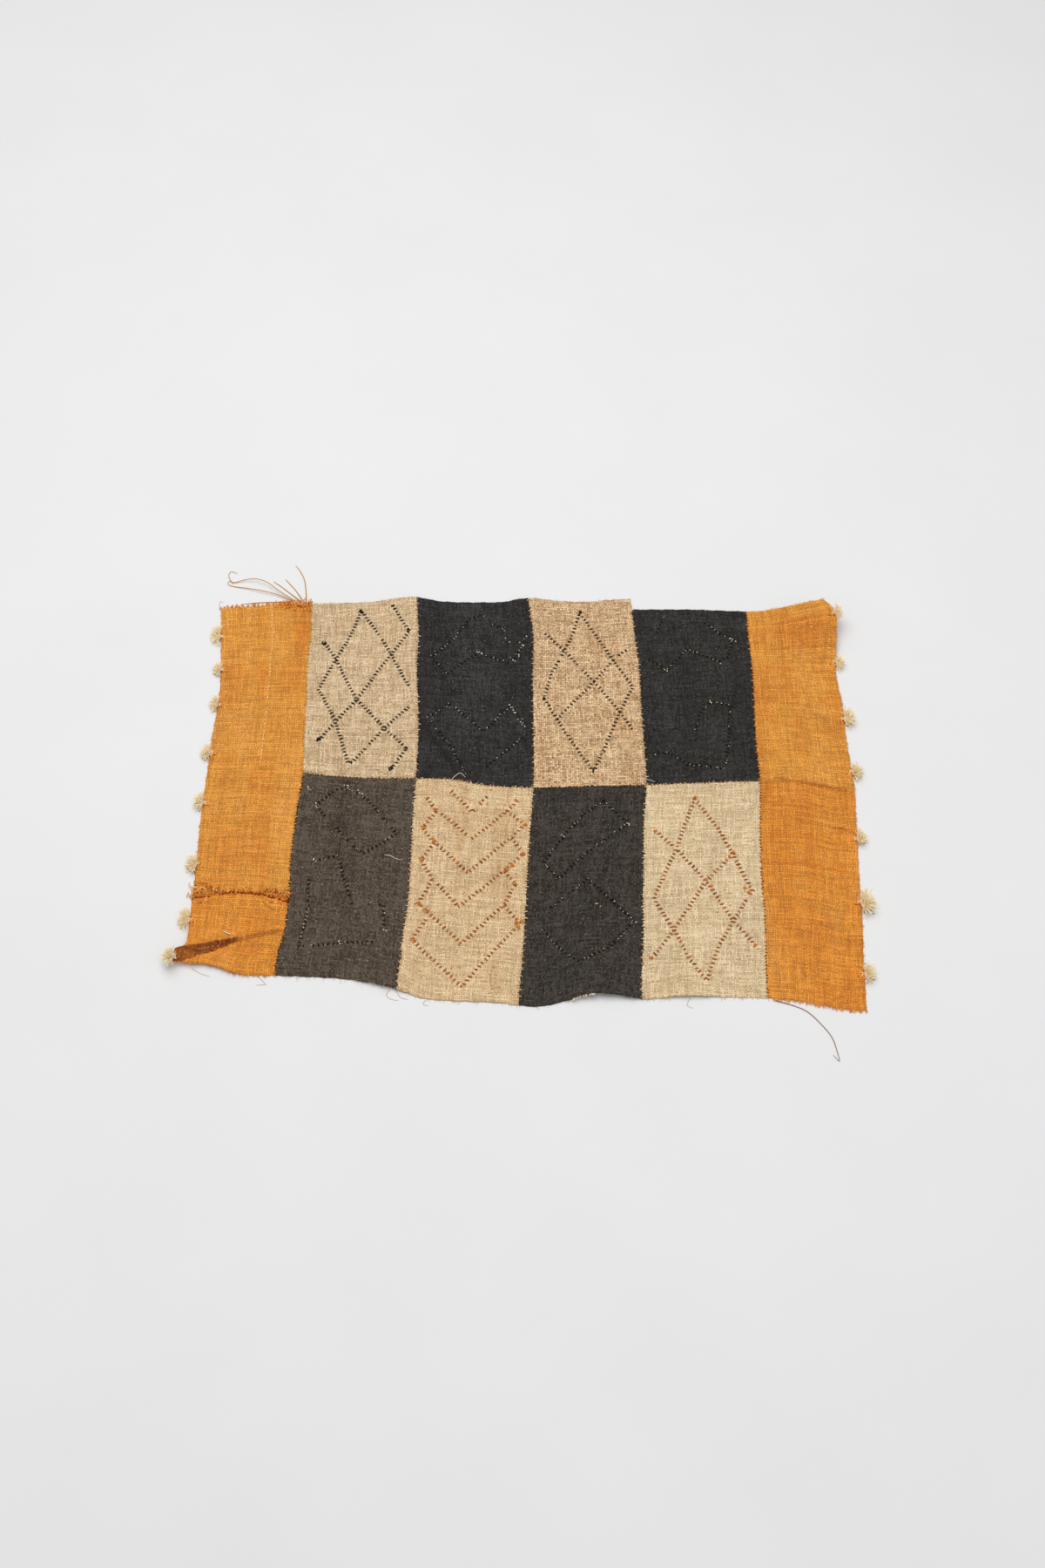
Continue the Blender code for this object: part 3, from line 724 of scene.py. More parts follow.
KNOTS = (
    # node, yarn, slot, size, places in hundredths of the square
    ("field_back_1", BLACK_YARN, "black_raffia", 5.4,
     ((47, 6), (13, 25), (13, 81), (77, 95))),
    ("field_back_1", BLACK_YARN, "black_raffia", 2.8, ((77, 4), (41, 92), (91, 19), (90, 84))),
    ("field_back_3", BLACK_YARN, "black_raffia", 2.4, ((49, 6), (10, 54), (53, 92), (57, 45))),
    ("field_front_4", KNOT_YARN, "ruff_raffia", 3.1,
     ((43, 7), (10, 23), (77, 34.5), (73, 36), (85, 51), (88, 53), (91, 77),
      (7, 82), (57, 50), (53, 47))),
    ("field_front_2", KNOT_YARN, "ruff_raffia", 4.2,
     ((19, 15), (9, 24), (19, 30), (9, 39), (95, 18), (95, 32), (87, 38), (81, 40),
      (90, 46), (9, 59), (17, 62), (8, 76), (93, 64), (97, 63), (95, 66))),
)
RING_WIDTH, RING_LENGTH = 0.26, 0.14
for number, (node, thread, slot, size, places) in enumerate(KNOTS):
    courses = []
    for u, v in places:
        ring = [(u + size * RING_WIDTH * math.cos(k), v + size * RING_LENGTH * math.sin(k)) for k in range(7)]
        courses.append(on_cloth(node, ring, 0.4))
    grown(STITCH_ROW, f"knots_{number + 1}_{node}", slot, courses, thread, number + 31, Pitch=0.75,
          Length=size * 0.6, Width=1.1, Height=1.3, Askew=3.0, Kept=0.95, Shift=size * 0.2)

DARK_DESIGNS = (
    # node, share of pale ends, lines in hundredths of the square
    ("field_back_2", 0.5, (
        ((50, 9), (58, 8)), ((46, 10), (27, 24), (12, 33), (26, 42), (53, 29)),
        ((53, 29), (67, 32), (81, 35), (92, 25), (93, 20)), ((66, 13), (76, 17)),
        ((9, 67), (27, 59), (45, 67), (57, 72), (80, 58), (92, 67)),
        ((12, 70), (30, 84), (42, 96)), ((60, 90), (80, 80), (93, 73)))),
    ("field_back_4", 0.42, (
        ((27, 5), (20, 14)), ((63, 8), (72, 13), (86, 18)),
        ((10, 30), (25, 36), (44, 24), (71, 31), (80, 28), (86, 18)),
        ((47, 71), (52, 61), (62, 55), (78, 57), (76, 75), (70, 92)),
        ((10, 70), (13, 69)), ((8, 84), (22, 83), (36, 90), (70, 93)))),
    ("field_front_1", 0.4, (
        ((39, 5), (61, 12), (87, 28), (60, 39), (50, 35), (36, 27)),
        ((39, 5), (27, 9), (16, 16), (24, 21)),
        ((20, 44), (40, 41), (45, 51), (53, 64)),
        ((16, 54), (17, 70), (15, 86), (45, 84), (75, 81)),
        ((68, 63), (80, 63), (84, 74)))),
    ("field_front_3", 0.5, (
        ((63, 8), (86, 19), (53, 32), (27, 44), (13, 36), (30, 24), (47, 14), (63, 8)),
        ((52, 46), (75, 57), (92, 65), (72, 78), (48, 84), (30, 76), (16, 67)),
        ((52, 46), (36, 52), (22, 57)))),
)
for number, (node, share, lines) in enumerate(DARK_DESIGNS):
    courses = [on_cloth(node, line) for line in lines]
    grown(STITCH_ROW, f"stitching_{node}", "black_raffia", courses, SOOT_YARN, number + 51, Pitch=4.4,
          Length=4.0, Width=1.9, Height=1.0, Askew=0.5, Kept=0.95, Shift=0.3)
    courses = [on_cloth(node, line, 0.3) for line in lines]
    grown(STITCH_ROW, f"pale_ends_{node}", "cream_raffia", courses, PALE_YARN, number + 61, Pitch=4.2,
          Length=1.3, Width=1.0, Height=0.9, Askew=1.4, Kept=share, Shift=1.1)

BRIGHT_ENDS = (
    # node, places in hundredths of the square where the dye has worn off a group of stitches
    ("field_back_2", ((92, 20), (90, 25), (83, 33), (87, 31), (80, 58), (83, 61), (88, 66),
                      (53, 29), (78, 22), (91, 68))),
    ("field_back_4", ((86, 18), (72, 31), (62, 55), (24, 36))),
    ("field_front_1", ((40, 5), (52, 8), (16, 16), (84, 74), (20, 44), (47, 83))),
    ("field_front_3", ((86, 19), (92, 65), (30, 24), (62, 58))),
)
for number, (node, places) in enumerate(BRIGHT_ENDS):
    courses = [on_cloth(node, ((u - 1.4, v - 0.6), (u + 1.2, v + 1.0)), 0.4) for u, v in places]
    grown(STITCH_ROW, f"bright_ends_{node}", "cream_raffia", courses, PALE_YARN, number + 65, Pitch=1.9,
          Length=1.9, Width=1.2, Height=1.0, Askew=1.6, Kept=0.8, Shift=1.2)


# Oversewn seams: fine stitches that bind the butted edges, dark thread with a pale
# one now and then, and an orange one along the middle seam.
SEAM_HIGH = 0.1
ORANGE_YARN = yarn("orange_yarn", (200, 108, 24), (248, 176, 82))
SEAM_RUN = np.linspace(0.01, 0.99, 120)
MIDDLE_RUN = np.linspace(0.01, 0.99, 70)
FRONT_END = np.ones(len(MIDDLE_RUN))
seams = []
for strip in (1, 2, 3, 4, 5):
    for first, last in ((0, 0), (1, 2)):
        side = np.full(len(SEAM_RUN), float(strip == 5))
        seams.append(above(*lattice(min(strip, 4), first, last, side, SEAM_RUN), SEAM_HIGH))
middle = [above(*lattice(strip, 0, 0, MIDDLE_RUN, FRONT_END), SEAM_HIGH) for strip in (1, 2, 3, 4)]
SEAM_YARN = yarn("seam_yarn", (30, 24, 20), (104, 72, 42))
TOOTH_YARN = yarn("tooth_yarn", (190, 150, 104), (240, 212, 168))
SEAM_STITCHES = (
    # name, courses, yarn, slot, pitch, length, width, askew, share kept
    ("dark", seams[1:] + middle, SEAM_YARN, "grey_raffia", 3.4, 2.7, 0.9, 0.5, 0.85),
    ("pale", seams[2:8], TOOTH_YARN, "cream_raffia", 6.6, 4.2, 1.1, 0.5, 0.85),
    ("middle", middle, TOOTH_YARN, "cream_raffia", 5.2, 3.0, 0.9, 0.6, 0.6),
    ("border", seams[:2] + seams[8:], ORANGE_YARN, "orange_raffia", 7.8, 4.4, 1.1, 0.5, 0.9),
    ("orange", middle, ORANGE_YARN, "orange_raffia", 4.3, 2.2, 1.0, 1.2, 0.7),
)
for number, (name, courses, thread, slot, pitch, length, width, askew, kept) in enumerate(SEAM_STITCHES):
    grown(STITCH_ROW, f"seam_stitches_{name}", slot, courses, thread, number + 71, Pitch=pitch, Length=length,
          Width=width, Height=0.7, Askew=askew, Kept=kept, Shift=0.45)


# A mend down the back half of the left border: one pale raffia thread, sewn in running
# stitch along the threads of the orange cloth.
MEND = ((-258.6, 217), (-253.5, 186), (-255, 159), (-254, 136), (-253.5, 102), (-254, 68), (-254.6, 35))


def evenly(points, step, least):
    """Even steps along a smooth line through points: how far along, and each coordinate."""
    points = np.array(points, float)
    places = np.concatenate(([0], np.cumsum(np.linalg.norm(np.diff(points, axis=0), axis=1))))
    at = np.linspace(0, places[-1], max(least, int(places[-1] / step)))
    return at, [smooth(list(zip(places, column)), at) for column in points.T]


def floor_course(points, lift=0.0, step=1.5):
    """A smooth course through places on the cloth, in metres."""
    return above(*evenly(points, step, 4)[1], lift)


MENDING_YARN = yarn("mending_yarn", (232, 176, 108), (255, 226, 176))
grown(STITCH_ROW, "mending_stitches", "cream_raffia", [floor_course(MEND)], MENDING_YARN, 91, Pitch=4.4,
      Length=2.8, Width=1.1, Height=0.9, Turn=0.0, Askew=0.25, Kept=0.85, Shift=0.2)


# Raw edges: the weft ends that stand out past the last thread, short and crooked.
# They are thickest on the borders' cut ends and along the left border's raised join.
def strand(tree, given, start, middle, end):
    """One bent thread with three sides."""
    bend = {"Resolution": 4, "Start": start, "Middle": middle, "End": end}
    ring = place(tree, "GeometryNodeCurvePrimitiveCircle", {"Resolution": 3}, mode="RADIUS")
    tree.links.new(times(tree, given["Thickness"], 0.5), ring.inputs["Radius"])
    return wire(tree, "GeometryNodeCurveToMesh", {
        "Curve": wire(tree, "GeometryNodeCurveQuadraticBezier", bend), "Profile Curve": ring.outputs[0],
        "Fill Caps": True})


def thread_group():
    """Loose thread ends that leave a line sideways, each bent and askew."""
    tree, given, out = growth_group("loose_threads", Pitch=0.001, Length=0.004, Thickness=0.0004, Bend=0.001,
                                    Turn=math.pi / 2, Askew=0.6, Rise=0.3, Kept=1.0, Floor=0.0002)
    points, facing = row_along(tree, given)
    part = axes(tree, chance(tree, given, (-1.0, -1.0, -1.0), (1.0, 1.0, 1.0)))
    turn = scaled(tree, part["Z"], given["Askew"], given["Turn"])
    rise = times(tree, scaled(tree, part["Y"], 0.5, 0.2), given["Rise"])
    turned = turned_by(tree, facing, times(tree, part["X"], 1.5), times(tree, rise, -1.0), turn)
    middle = spot(tree, times(tree, given["Length"], 0.55), given["Bend"])
    end = spot(tree, given["Length"], times(tree, given["Bend"], -0.4))
    thread = strand(tree, given, (0.0, 0.0, 0.0), middle, end)
    return copies(tree, given, out, points, thread, turned, chance(tree, given, 0.55, 1.35))


LOOSE_THREADS = thread_group()
EDGE_STEPS = 160


def edge_course(strip, first, last, side, start, end):
    """A course along one side of a panel: back, front, left or right."""
    run = np.linspace(start, end, EDGE_STEPS)
    edge = np.full(EDGE_STEPS, float(side in ("right", "front")))
    across, along = (edge, run) if side in ("left", "right") else (run, edge)
    return above(*lattice(strip, first, last, across, along), -THICK / 2)


SAND_YARN = yarn("sand_yarn", (176, 140, 96), (226, 202, 162))
RUFF_YARN = yarn("ruff_yarn", (196, 86, 14), (255, 196, 96))
GOLD_YARN = yarn("gold_yarn", (236, 170, 92), (255, 232, 176))
DARK_RUFF_YARN = yarn("dark_ruff_yarn", (104, 30, 2), (170, 66, 12))
TEETH_YARN = yarn("teeth_yarn", (170, 92, 16), (240, 160, 58))
FRAYS = (
    # name, strip, first, last, side, start, end, pitch, length, thickness, askew, turn, kept, yarn, slot
    ("left_back", 0, 0, 1, "back", 0.0, 1.0, 3.7, 3.0, 1.7, 0.5, 1, 0.95, TEETH_YARN, "ruff_raffia"),
    ("left_back_fine", 0, 0, 1, "back", 0.0, 1.0, 1.6, 2.6, 0.6, 0.8, 1, 0.9, ORANGE_YARN, "orange_raffia"),
    ("left_front", 0, 2, 2, "front", 0.0, 1.0, 1.2, 2.2, 0.7, 0.9, -1, 0.85, TEETH_YARN, "ruff_raffia"),
    ("right_front", 5, 1, 2, "front", 0.05, 1.0, 0.9, 2.4, 0.7, 0.3, -1, 0.95, ORANGE_YARN,
     "deep_orange_raffia"),
    ("right_back", 5, 0, 0, "back", 0.3, 1.0, 1.6, 1.4, 0.5, 0.8, 1, 0.7, ORANGE_YARN, "orange_raffia"),
    ("left_side", 0, 0, 1, "left", 0.0, 1.0, 2.2, 1.2, 0.5, 1.0, -1, 0.6, ORANGE_YARN, "orange_raffia"),
    ("right_side", 5, 0, 2, "right", 0.0, 1.0, 2.6, 1.1, 0.5, 1.0, 1, 0.6, ORANGE_YARN, "orange_raffia"),
    ("square_1_front", 1, 1, 2, "front", 0.1, 1.0, 4.0, 4.2, 0.3, 1.2, -1, 0.6, SAND_YARN, "sand_raffia"),
    ("square_2_front", 2, 1, 2, "front", 0.0, 1.0, 2.4, 2.6, 0.3, 1.1, -1, 0.6, SAND_YARN, "sand_raffia"),
    ("square_3_front", 3, 1, 2, "front", 0.0, 1.0, 5.0, 3.4, 0.3, 1.2, -1, 0.6, SAND_YARN, "sand_raffia"),
    ("square_3_tuft", 3, 1, 2, "front", 0.44, 0.62, 1.1, 2.4, 0.8, 1.3, -1, 0.8, PALE_YARN, "cream_raffia"),
    ("square_4_front", 4, 1, 2, "front", 0.0, 1.0, 2.2, 2.8, 0.3, 1.1, -1, 0.7, SAND_YARN, "pale_raffia"),
    ("square_1_back", 1, 0, 0, "back", 0.0, 1.0, 3.2, 1.3, 0.3, 1.0, 1, 0.6, SAND_YARN, "beige_raffia"),
    ("square_3_back", 3, 0, 0, "back", 0.0, 1.0, 2.6, 1.4, 0.3, 1.0, 1, 0.6, SAND_YARN, "tan_raffia"),
)
for number, (name, *edge, pitch, length, thick, askew, turn, kept, thread, slot) in enumerate(FRAYS):
    grown(LOOSE_THREADS, f"fray_{name}", slot, [edge_course(*edge)], thread, number + 101, Pitch=pitch,
          Length=length, Thickness=thick, Bend=length * 0.3, Turn=turn * math.pi / 2, Askew=askew, Rise=0.5,
          Kept=kept)

# The raised join of the left border, and the tangle at its back corner: rows of short
# curled ends that lie every way. Dark threads under and among them along the join are painted shadow.
RUFF_FRONT = ((-305, -6.5), (-290, -3.0), (-273, 0.3), (-241, -0.5), (-228, -3.0), (-216, -5.2))
RUFF_BACK = ((-305, 10.5), (-292, 9.5), (-278, 6.0), (-241, 5.5), (-230, 7.5), (-216, 9.0))
RUFF_STEPS = 120
TANGLE_STEPS = 90
TANGLE = ((-314, 0.0), (-262, 0.5), (-248, 3.5), (-238, 7.5), (-222, 8.5))


def ruff_course(start, end, share, lift):
    """A course between the ruff's front and back lines, in metres."""
    x = np.linspace(start, end, RUFF_STEPS)
    offset = smooth(RUFF_FRONT, x) * (1 - share) + smooth(RUFF_BACK, x) * share
    return above(x, smooth(LEFT_JOIN, x) + offset, lift)


def tangle_course(start, end, share, lift):
    """A course inside the left border's back edge, in metres."""
    x = np.linspace(start, end, TANGLE_STEPS)
    return above(x, smooth(BACK_EDGE, x) - smooth(TANGLE, x) * share, lift)


# Dark threads laid along the front of the join: a painted shadow under the raised ends.
join = [ruff_course(-304, -217, -0.04, 0.3)]
line = grown(STITCH_ROW, "join_shadow_line", "ruff_raffia", join, DARK_RUFF_YARN, 131, Pitch=2.3, Length=2.5,
             Width=1.9, Height=2.0, Turn=0.3, Askew=0.8, Kept=0.95, Shift=0.7)
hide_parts("seam_ruff_left")
RUFF_ROWS = (
    # name, kind of course and its runs, yarn, pitch, length, askew
    ("join_ends_1", ruff_course, ((-304, -217, 0.16, 0.8),), RUFF_YARN, 1.3, 3.0, 1.2),
    ("join_ends_2", ruff_course, ((-304, -280, 0.35, 1.3), (-238, -217, 0.35, 1.3)),
     RUFF_YARN, 1.0, 4.4, 3.1),
    ("join_ends_3", ruff_course, ((-304, -284, 0.65, 1.0), (-236, -217, 0.7, 1.0)), RUFF_YARN, 1.2, 4.4, 3.1),
    ("join_ends_4", ruff_course, ((-304, -290, 0.95, 0.5), (-284, -236, 0.5, 0.5)), RUFF_YARN, 1.6, 3.6, 3.1),
    ("join_shade", ruff_course, ((-304, -280, 0.5, 0.2), (-236, -217, 0.5, 0.2)),
     DARK_RUFF_YARN, 1.7, 3.8, 3.1),
    ("join_front", ruff_course, ((-304, -290, -0.4, 0.1), (-238, -217, -0.4, 0.1)), RUFF_YARN, 2.2, 2.4, 3.1),
    ("join_specks", ruff_course, ((-304, -284, 0.6, 1.4), (-236, -217, 0.6, 1.4)), GOLD_YARN, 2.0, 2.6, 3.1),
    ("join_corner", ruff_course, ((-309, -302, 0.0, 0.4), (-307, -302, 0.15, 0.6)), RUFF_YARN, 0.9, 2.8, 3.1),
    ("back_tangle_1", tangle_course, ((-254, -221, 0.1, 0.9),), ORANGE_YARN, 0.9, 4.4, 3.1),
    ("back_tangle_2", tangle_course, ((-248, -221, 0.45, 0.7),), ORANGE_YARN, 1.1, 4.2, 3.1),
    ("back_tangle_3", tangle_course, ((-246, -221, 0.75, 0.4),), RUFF_YARN, 1.5, 3.4, 3.1),
    ("back_tangle_4", tangle_course, ((-250, -222, 0.3, 0.2),), DARK_RUFF_YARN, 2.4, 3.0, 3.1),
)
for number, (name, course, runs, thread, pitch, length, askew) in enumerate(RUFF_ROWS):
    rows = [course(*run) for run in runs]
    grown(LOOSE_THREADS, name, "ruff_raffia", rows, thread, number + 141, Pitch=pitch, Length=length,
          Thickness=0.95, Bend=length * 0.6, Askew=askew, Rise=0.6, Kept=0.95)


# Pompoms: tufts of cut cream raffia, each tied through the cloth's edge so that its
# ends fan outwards. They lie on the floor, flat on the side by the cloth.
POMPOMS = (
    # node, side, y, radius, reach outwards
    ("pompom_left_1", -1, 184.5, 9.5, 9.0),
    ("pompom_left_2", -1, 144, 8.0, 6.5),
    ("pompom_left_3", -1, 101, 8.0, 7.0),
    ("pompom_left_4", -1, 45, 9.0, 7.5),
    ("pompom_left_5", -1, -13, 9.0, 8.0),
    ("pompom_left_6", -1, -80.0, 10.0, 9.5),
    ("pompom_left_7", -1, -140, 10.0, 10.0),
    ("pompom_left_8", -1, -182, 7.4, 10.5),
    ("pompom_right_1", 1, 213.5, 7.5, 6.5),
    ("pompom_right_2", 1, 163.5, 10.0, 6.0),
    ("pompom_right_3", 1, 95, 10.5, 9.5),
    ("pompom_right_4", 1, 34, 9.0, 9.5),
    ("pompom_right_5", 1, -42, 8.0, 8.5),
    ("pompom_right_6", 1, -110, 12.5, 13.5),
    ("pompom_right_7", 1, -185, 9.0, 9.0),
)
CORE_SHARE = 0.38
CORE_SHAPE = (0.8, 1.2, 0.72)
CORE_OUT = 0.16
CORE_UP = 0.3
FIRST_LOBE = (-0.16, 0.86)
SECOND_LOBE = (0.42, 0.6)
TIE_LEANS = (-1.0, 0.6)
STRAND_SHARE = 0.72
STRANDS_EACH = 385
FACING_FROM = -0.18


def tuft_group():
    """Fine strands that stand out of a core on the sides that face away from the cloth."""
    tree, given, out = growth_group("raffia_tuft", Density=1.0e6, Length=0.005, Thickness=0.0004, Bend=0.0008,
                                    Askew=0.4, Outwards=1.0, Floor=0.0002)
    normal = axes(tree, wire(tree, "GeometryNodeInputNormal"))
    outwards = scaled(tree, normal["Z"], 0.35, times(tree, normal["X"], given["Outwards"]))
    facing = wire(tree, "FunctionNodeCompare", {0: outwards, 1: FACING_FROM}, data_type="FLOAT",
                  operation="GREATER_THAN")
    inputs = {"Mesh": given["Geometry"], "Selection": facing, "Density": given["Density"],
              "Seed": given["Seed"]}
    cast = place(tree, "GeometryNodeDistributePointsOnFaces", inputs).outputs
    part = axes(tree, chance(tree, given, (-1.0, -1.0, -3.0), (1.0, 1.0, 3.0)))
    lean, roll = (times(tree, part[axis], given["Askew"]) for axis in "XY")
    turned = turned_by(tree, cast["Rotation"], lean, roll, part["Z"])
    middle = spot(tree, 0.0, 0.0, times(tree, given["Length"], 0.6))
    hair = strand(tree, given, (0.0, 0.0, -0.0006), middle, spot(tree, given["Bend"], 0.0, given["Length"]))
    vary = chance(tree, given, 0.62, 1.14)
    return copies(tree, given, out, cast["Points"], hair, turned, vary, given["Geometry"])


TUFT = tuft_group()
CREAM_YARN = yarn("cream_yarn", (255, 230, 184), (255, 246, 218), 0.85)
tie_courses, knot_courses = [], []
for number, (node, side, y, radius, reach) in enumerate(POMPOMS):
    at = np.array([float(y)])
    edge = lengthwise_x(0 if side < 0 else 6, at)
    edge, base = float(edge[0]), float(relief(edge, at)[0])
    core = bmesh.new()
    for lobe, share in (FIRST_LOBE, (SECOND_LOBE[0] * (-1) ** number, SECOND_LOBE[1])):
        for vert in bmesh.ops.create_icosphere(core, subdivisions=2, radius=share)["verts"]:
            vert.co.x *= reach * CORE_SHARE * CORE_SHAPE[0] * side
            vert.co.y *= radius * CORE_SHARE * CORE_SHAPE[1]
            vert.co.z *= radius * CORE_SHARE * CORE_SHAPE[2]
            vert.co += Vector((edge + side * reach * CORE_OUT, y + radius * lobe, base + radius * CORE_UP))
            vert.co.z = max(vert.co.z, 0.3)
    if side < 0:
        bmesh.ops.reverse_faces(core, faces=core.faces)
    bmesh.ops.scale(core, vec=(MM, MM, MM), verts=core.verts)
    area = 4 * math.pi * (radius * CORE_SHARE * MM) ** 2
    host = linked("core", mesh_from(core, "core"))
    tuft = grown(TUFT, f"tuft_{node}", "cream_raffia", host, CREAM_YARN, number + 201,
                 Density=STRANDS_EACH / area, Length=(radius + reach) / 2 * STRAND_SHARE, Thickness=0.68,
                 Bend=1.2, Askew=0.4, Outwards=float(side), Floor=0.25)
    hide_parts(node)
    for lean in TIE_LEANS:
        tie_courses.append(((edge - side * 2.6, y + 2 * lean), (edge - side * 0.8, y - lean),
                            (edge + side * 2, y - 2 * lean)))
    knot_courses.append(((edge - side * 5.5, y - 3.4), (edge - side * 2.0, y - 2.4)))
ties, knots = ([floor_course(course, 0.2, 0.8) for course in rows] for rows in (tie_courses, knot_courses))
grown(STITCH_ROW, "pompom_ties", "cream_raffia", ties, CREAM_YARN, 231, Pitch=1.1, Length=1.9, Width=0.9,
      Height=0.8, Turn=0.0, Askew=0.15, Kept=1.0, Shift=0.05)
grown(STITCH_ROW, "pompom_knots", "ruff_raffia", knots, DARK_RUFF_YARN, 233, Pitch=1.7, Length=1.6, Width=1.2,
      Height=1.0, Turn=0.0, Askew=1.2, Kept=0.7, Shift=0.7)


# Loose raffia ends: long weft ends left at the back of the left border and at the front
# of the right one, lying on the floor, and short stray threads on the squares.
LOOSE_BACK = (
    ((-236, 230.8, 1.0), (-253, 242, 3.0), (-265, 251, 4.5), (-277, 256, 4.0),
     (-289, 256, 2.0), (-301, 254, 0.0), (-306, 263, 0.0), (-304, 268, 0.0), (-298, 266, 0.0)),
    ((-238, 230.5, 1.0), (-255, 238, 2.0), (-270, 242, 2.5), (-285, 246, 1.0),
     (-300, 249, 0.0), (-306, 252, 0.0), (-304, 256, 0.0), (-301, 252, 0.0)),
    ((-231, 231, 1.0), (-243, 242, 0.0), (-252, 250, 0.0), (-260, 256, 0.0)),
    ((-225, 230.8, 1.0), (-226, 243, 0.0), (-229, 259, 0.0), (-234, 270, 0.0), (-239, 277, 0.0)),
    ((-228, 231, 1.0), (-236, 244, 0.0), (-243, 253, 0.0), (-248, 259, 0.0)),
    ((-239, 230.3, 1.0), (-256, 229.5, 0.0), (-272, 228.5, 0.0), (-290, 226, 0.0)),
)
STRAND_STEP = 2.0
TAPER = (1.0, 0.8, 0.45)
LOOSE_FRONT = (
    ((226, -213.4, 0.8), (242, -218, 0.0), (254, -224, 0.0), (266, -237, 0.0),
     (274, -249, 0.0), (278, -264, 0.0), (279, -272, 0.0), (274, -266, 0.0)),
)


def strand_piece(name, routes, radius, thread):
    """Round threads along routes of x, y and height in millimetres, as one mesh."""
    curve = bpy.data.curves.new(name, "CURVE")
    curve.dimensions = "3D"
    curve.bevel_depth = radius * MM
    curve.bevel_resolution = 1
    curve.use_fill_caps = True
    for route in routes:
        at, fine = evenly(route, STRAND_STEP, 6)
        spline = curve.splines.new("POLY")
        spline.points.add(len(at) - 1)
        taper = np.interp(at, (0, at[-1] * 0.8, at[-1]), TAPER)
        for point, x, y, z, size in zip(spline.points, *fine, taper):
            point.co = (x * MM, y * MM, (max(z, 0.0) + radius) * MM, 1.0)
            point.radius = size
    source = linked(name, curve)
    bpy.context.view_layer.update()
    mesh = bpy.data.meshes.new_from_object(source.evaluated_get(bpy.context.evaluated_depsgraph_get()))
    bpy.data.objects.remove(source, do_unlink=True)
    mesh.materials.clear()
    mesh.materials.append(thread)
    mesh.shade_smooth()
    piece = linked(name, mesh)
    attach(piece, "root")
    return piece


STRAW_YARN = yarn("straw_yarn", (186, 132, 34), (240, 192, 84))
DRY_YARN = yarn("dry_yarn", (132, 84, 54), (196, 140, 96))
back_ends = strand_piece("loose_ends_back_strands", LOOSE_BACK, 0.5, STRAW_YARN)
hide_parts("loose_ends_back")
front_end = strand_piece("loose_end_front_strand", LOOSE_FRONT, 0.42, DRY_YARN)
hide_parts("loose_end_front")

WHITE_YARN = yarn("white_yarn", (226, 214, 190), (255, 252, 244))
WISPS = (
    ((-237, -197, 0), (-231, -203, 0), (-229, -205, 0), (-234, -205.5, 0), (-238, -206, 0)),
    ((-297, -190, 0), (-289, -195, 0), (-280, -198, 0)),
    ((-311, 218, 0), (-312, 226, 0), (-311, 230, 0), (-308, 227, 0)),
    ((-118, -208, 0), (-121, -214, 0), (-116, -218, 0), (-110, -219, 0)),
    ((-112, -210, 0), (-108, -216, 0), (-101, -218, 0)),
    ((150, -212, 0), (147, -219, 0), (152, -222, 0)),
    ((-84, -217, 0), (-88, -222, 0), (-83, -224, 0)),
)
strand_piece("floor_wisps", WISPS, 0.22, SAND_YARN)
STRAYS = (
    # courses over the cloth in millimetres
    ((-71, 17), (-67, 22), (-62, 24), (-58, 20)),
    ((-53, 16), (-52, 12), (-49, 12)),
    ((-130, -68), (-124, -69), (-119, -72), (-113, -73)),
    ((107, 28), (110, 22), (117, 20), (122, 18)),
    ((-207, 8), (-206, 4), (-203, 3)),
)
FOLD_SPECKS = ((-291, -173), (-276, -168))
FLECK = ((-272, -154), (-268.5, -155.8), (-265, -157.4))
CURL = ((-240, -113), (-239, -119), (-234, -125), (-227, -129))
routes = [floor_course(course, 0.15) / MM for course in STRAYS]
strand_piece("stray_threads", routes, 0.34, WHITE_YARN)
grown(STITCH_ROW, "fold_specks", "cream_raffia", [floor_course(FOLD_SPECKS, 0.2)], TOOTH_YARN, 241, Pitch=1.2,
      Length=1.5, Width=0.8, Height=0.8, Askew=1.2, Kept=0.6, Shift=1.4)
strand_piece("white_fleck", [floor_course(FLECK, 0.2)[::-1] / MM], 0.62, WHITE_YARN)
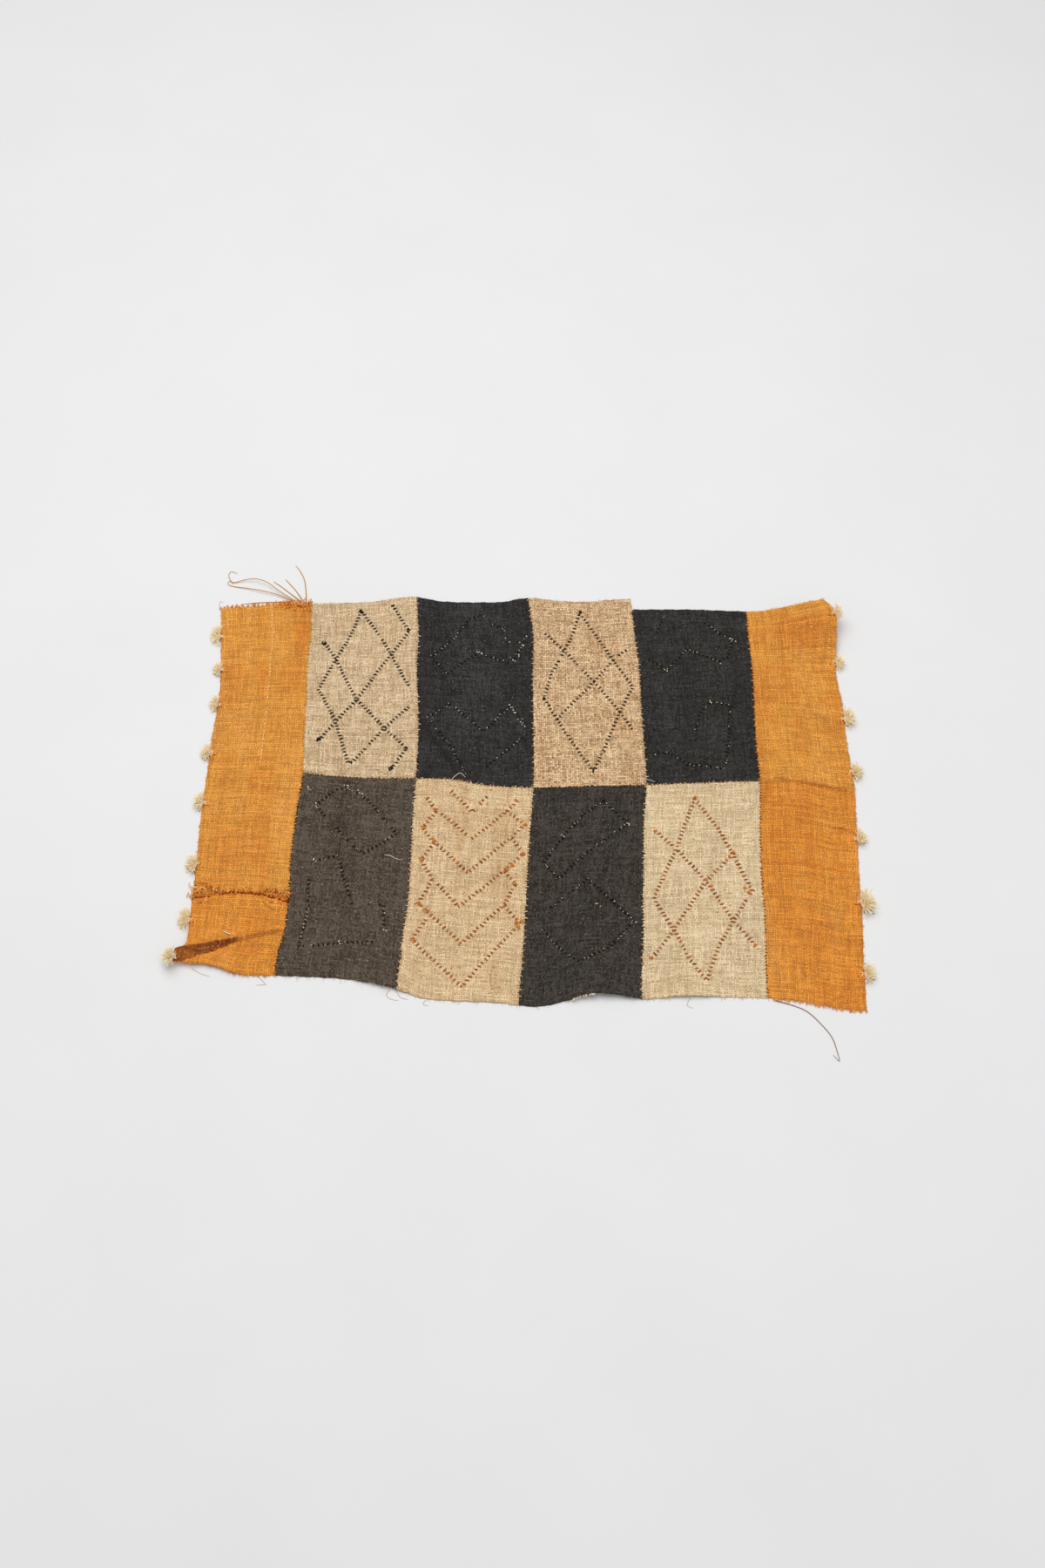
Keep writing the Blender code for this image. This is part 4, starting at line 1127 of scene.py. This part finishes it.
strand_piece("join_curl", [floor_course(CURL, 0.3) / MM], 0.42, STRAW_YARN)


# The studio: a pale, even floor under two soft round lamps and a white sky. The camera
# is at standing height and looks steeply down.
FLOOR_HALF = 4.0
EYE = (0.01726, -1.13212, 1.72)
TILT_DOWN = 56.3
HEADING = 1.04
LENS = 50.0
FLOOR_TONES = (0.80, 0.80, 0.80, 1.0), (0.815, 0.815, 0.82, 1.0)

sheet_of_floor = bmesh.new()
bmesh.ops.create_grid(sheet_of_floor, x_segments=1, y_segments=1, size=FLOOR_HALF)
floor = linked("studio_floor", mesh_from(sheet_of_floor, "studio_floor"))
paint, tree, shader = new_material("floor_paint")
mottle = cloud(tree, place(tree, "ShaderNodeTexCoord").outputs["Object"], 6.0, 5.0)
tree.links.new(dye(tree, ramp(tree, mottle, 0.35, 0.65), *FLOOR_TONES), shader["Base Color"])
shader["Roughness"].default_value = 0.9
floor.data.materials.append(paint)

world = bpy.data.worlds.new("studio_air")
bpy.context.scene.world = world
world.use_nodes = True
sky = world.node_tree.nodes["Background"]
sky.inputs["Color"].default_value = (1.0, 1.0, 1.0, 1.0)
sky.inputs["Strength"].default_value = 0.4

LAMPS = (
    # name, watts, size, place
    ("soft_back_lamp", 41.0, 2.6, (-0.4, 0.75, 2.5)),
    ("soft_front_lamp", 18.0, 2.2, (0.5, -0.7, 2.7)),
)
for name, power, size, spot_at in LAMPS:
    light = bpy.data.lights.new(name, "AREA")
    light.energy = power
    light.shape = "DISK"
    light.size = size
    lamp = linked(name, light)
    lamp.location = spot_at
    lamp.rotation_euler = (-Vector(spot_at)).to_track_quat("-Z", "Y").to_euler()

lens = bpy.data.cameras.new("studio_camera")
lens.lens = LENS
lens.sensor_fit = "VERTICAL"
lens.sensor_height = 36.0
lens.sensor_width = 24.0
camera = linked("studio_camera", lens)
camera.location = EYE
camera.rotation_euler = (math.radians(90 - TILT_DOWN), 0.0, math.radians(HEADING))
bpy.context.scene.camera = camera
bpy.context.scene.view_settings.view_transform = "Standard"
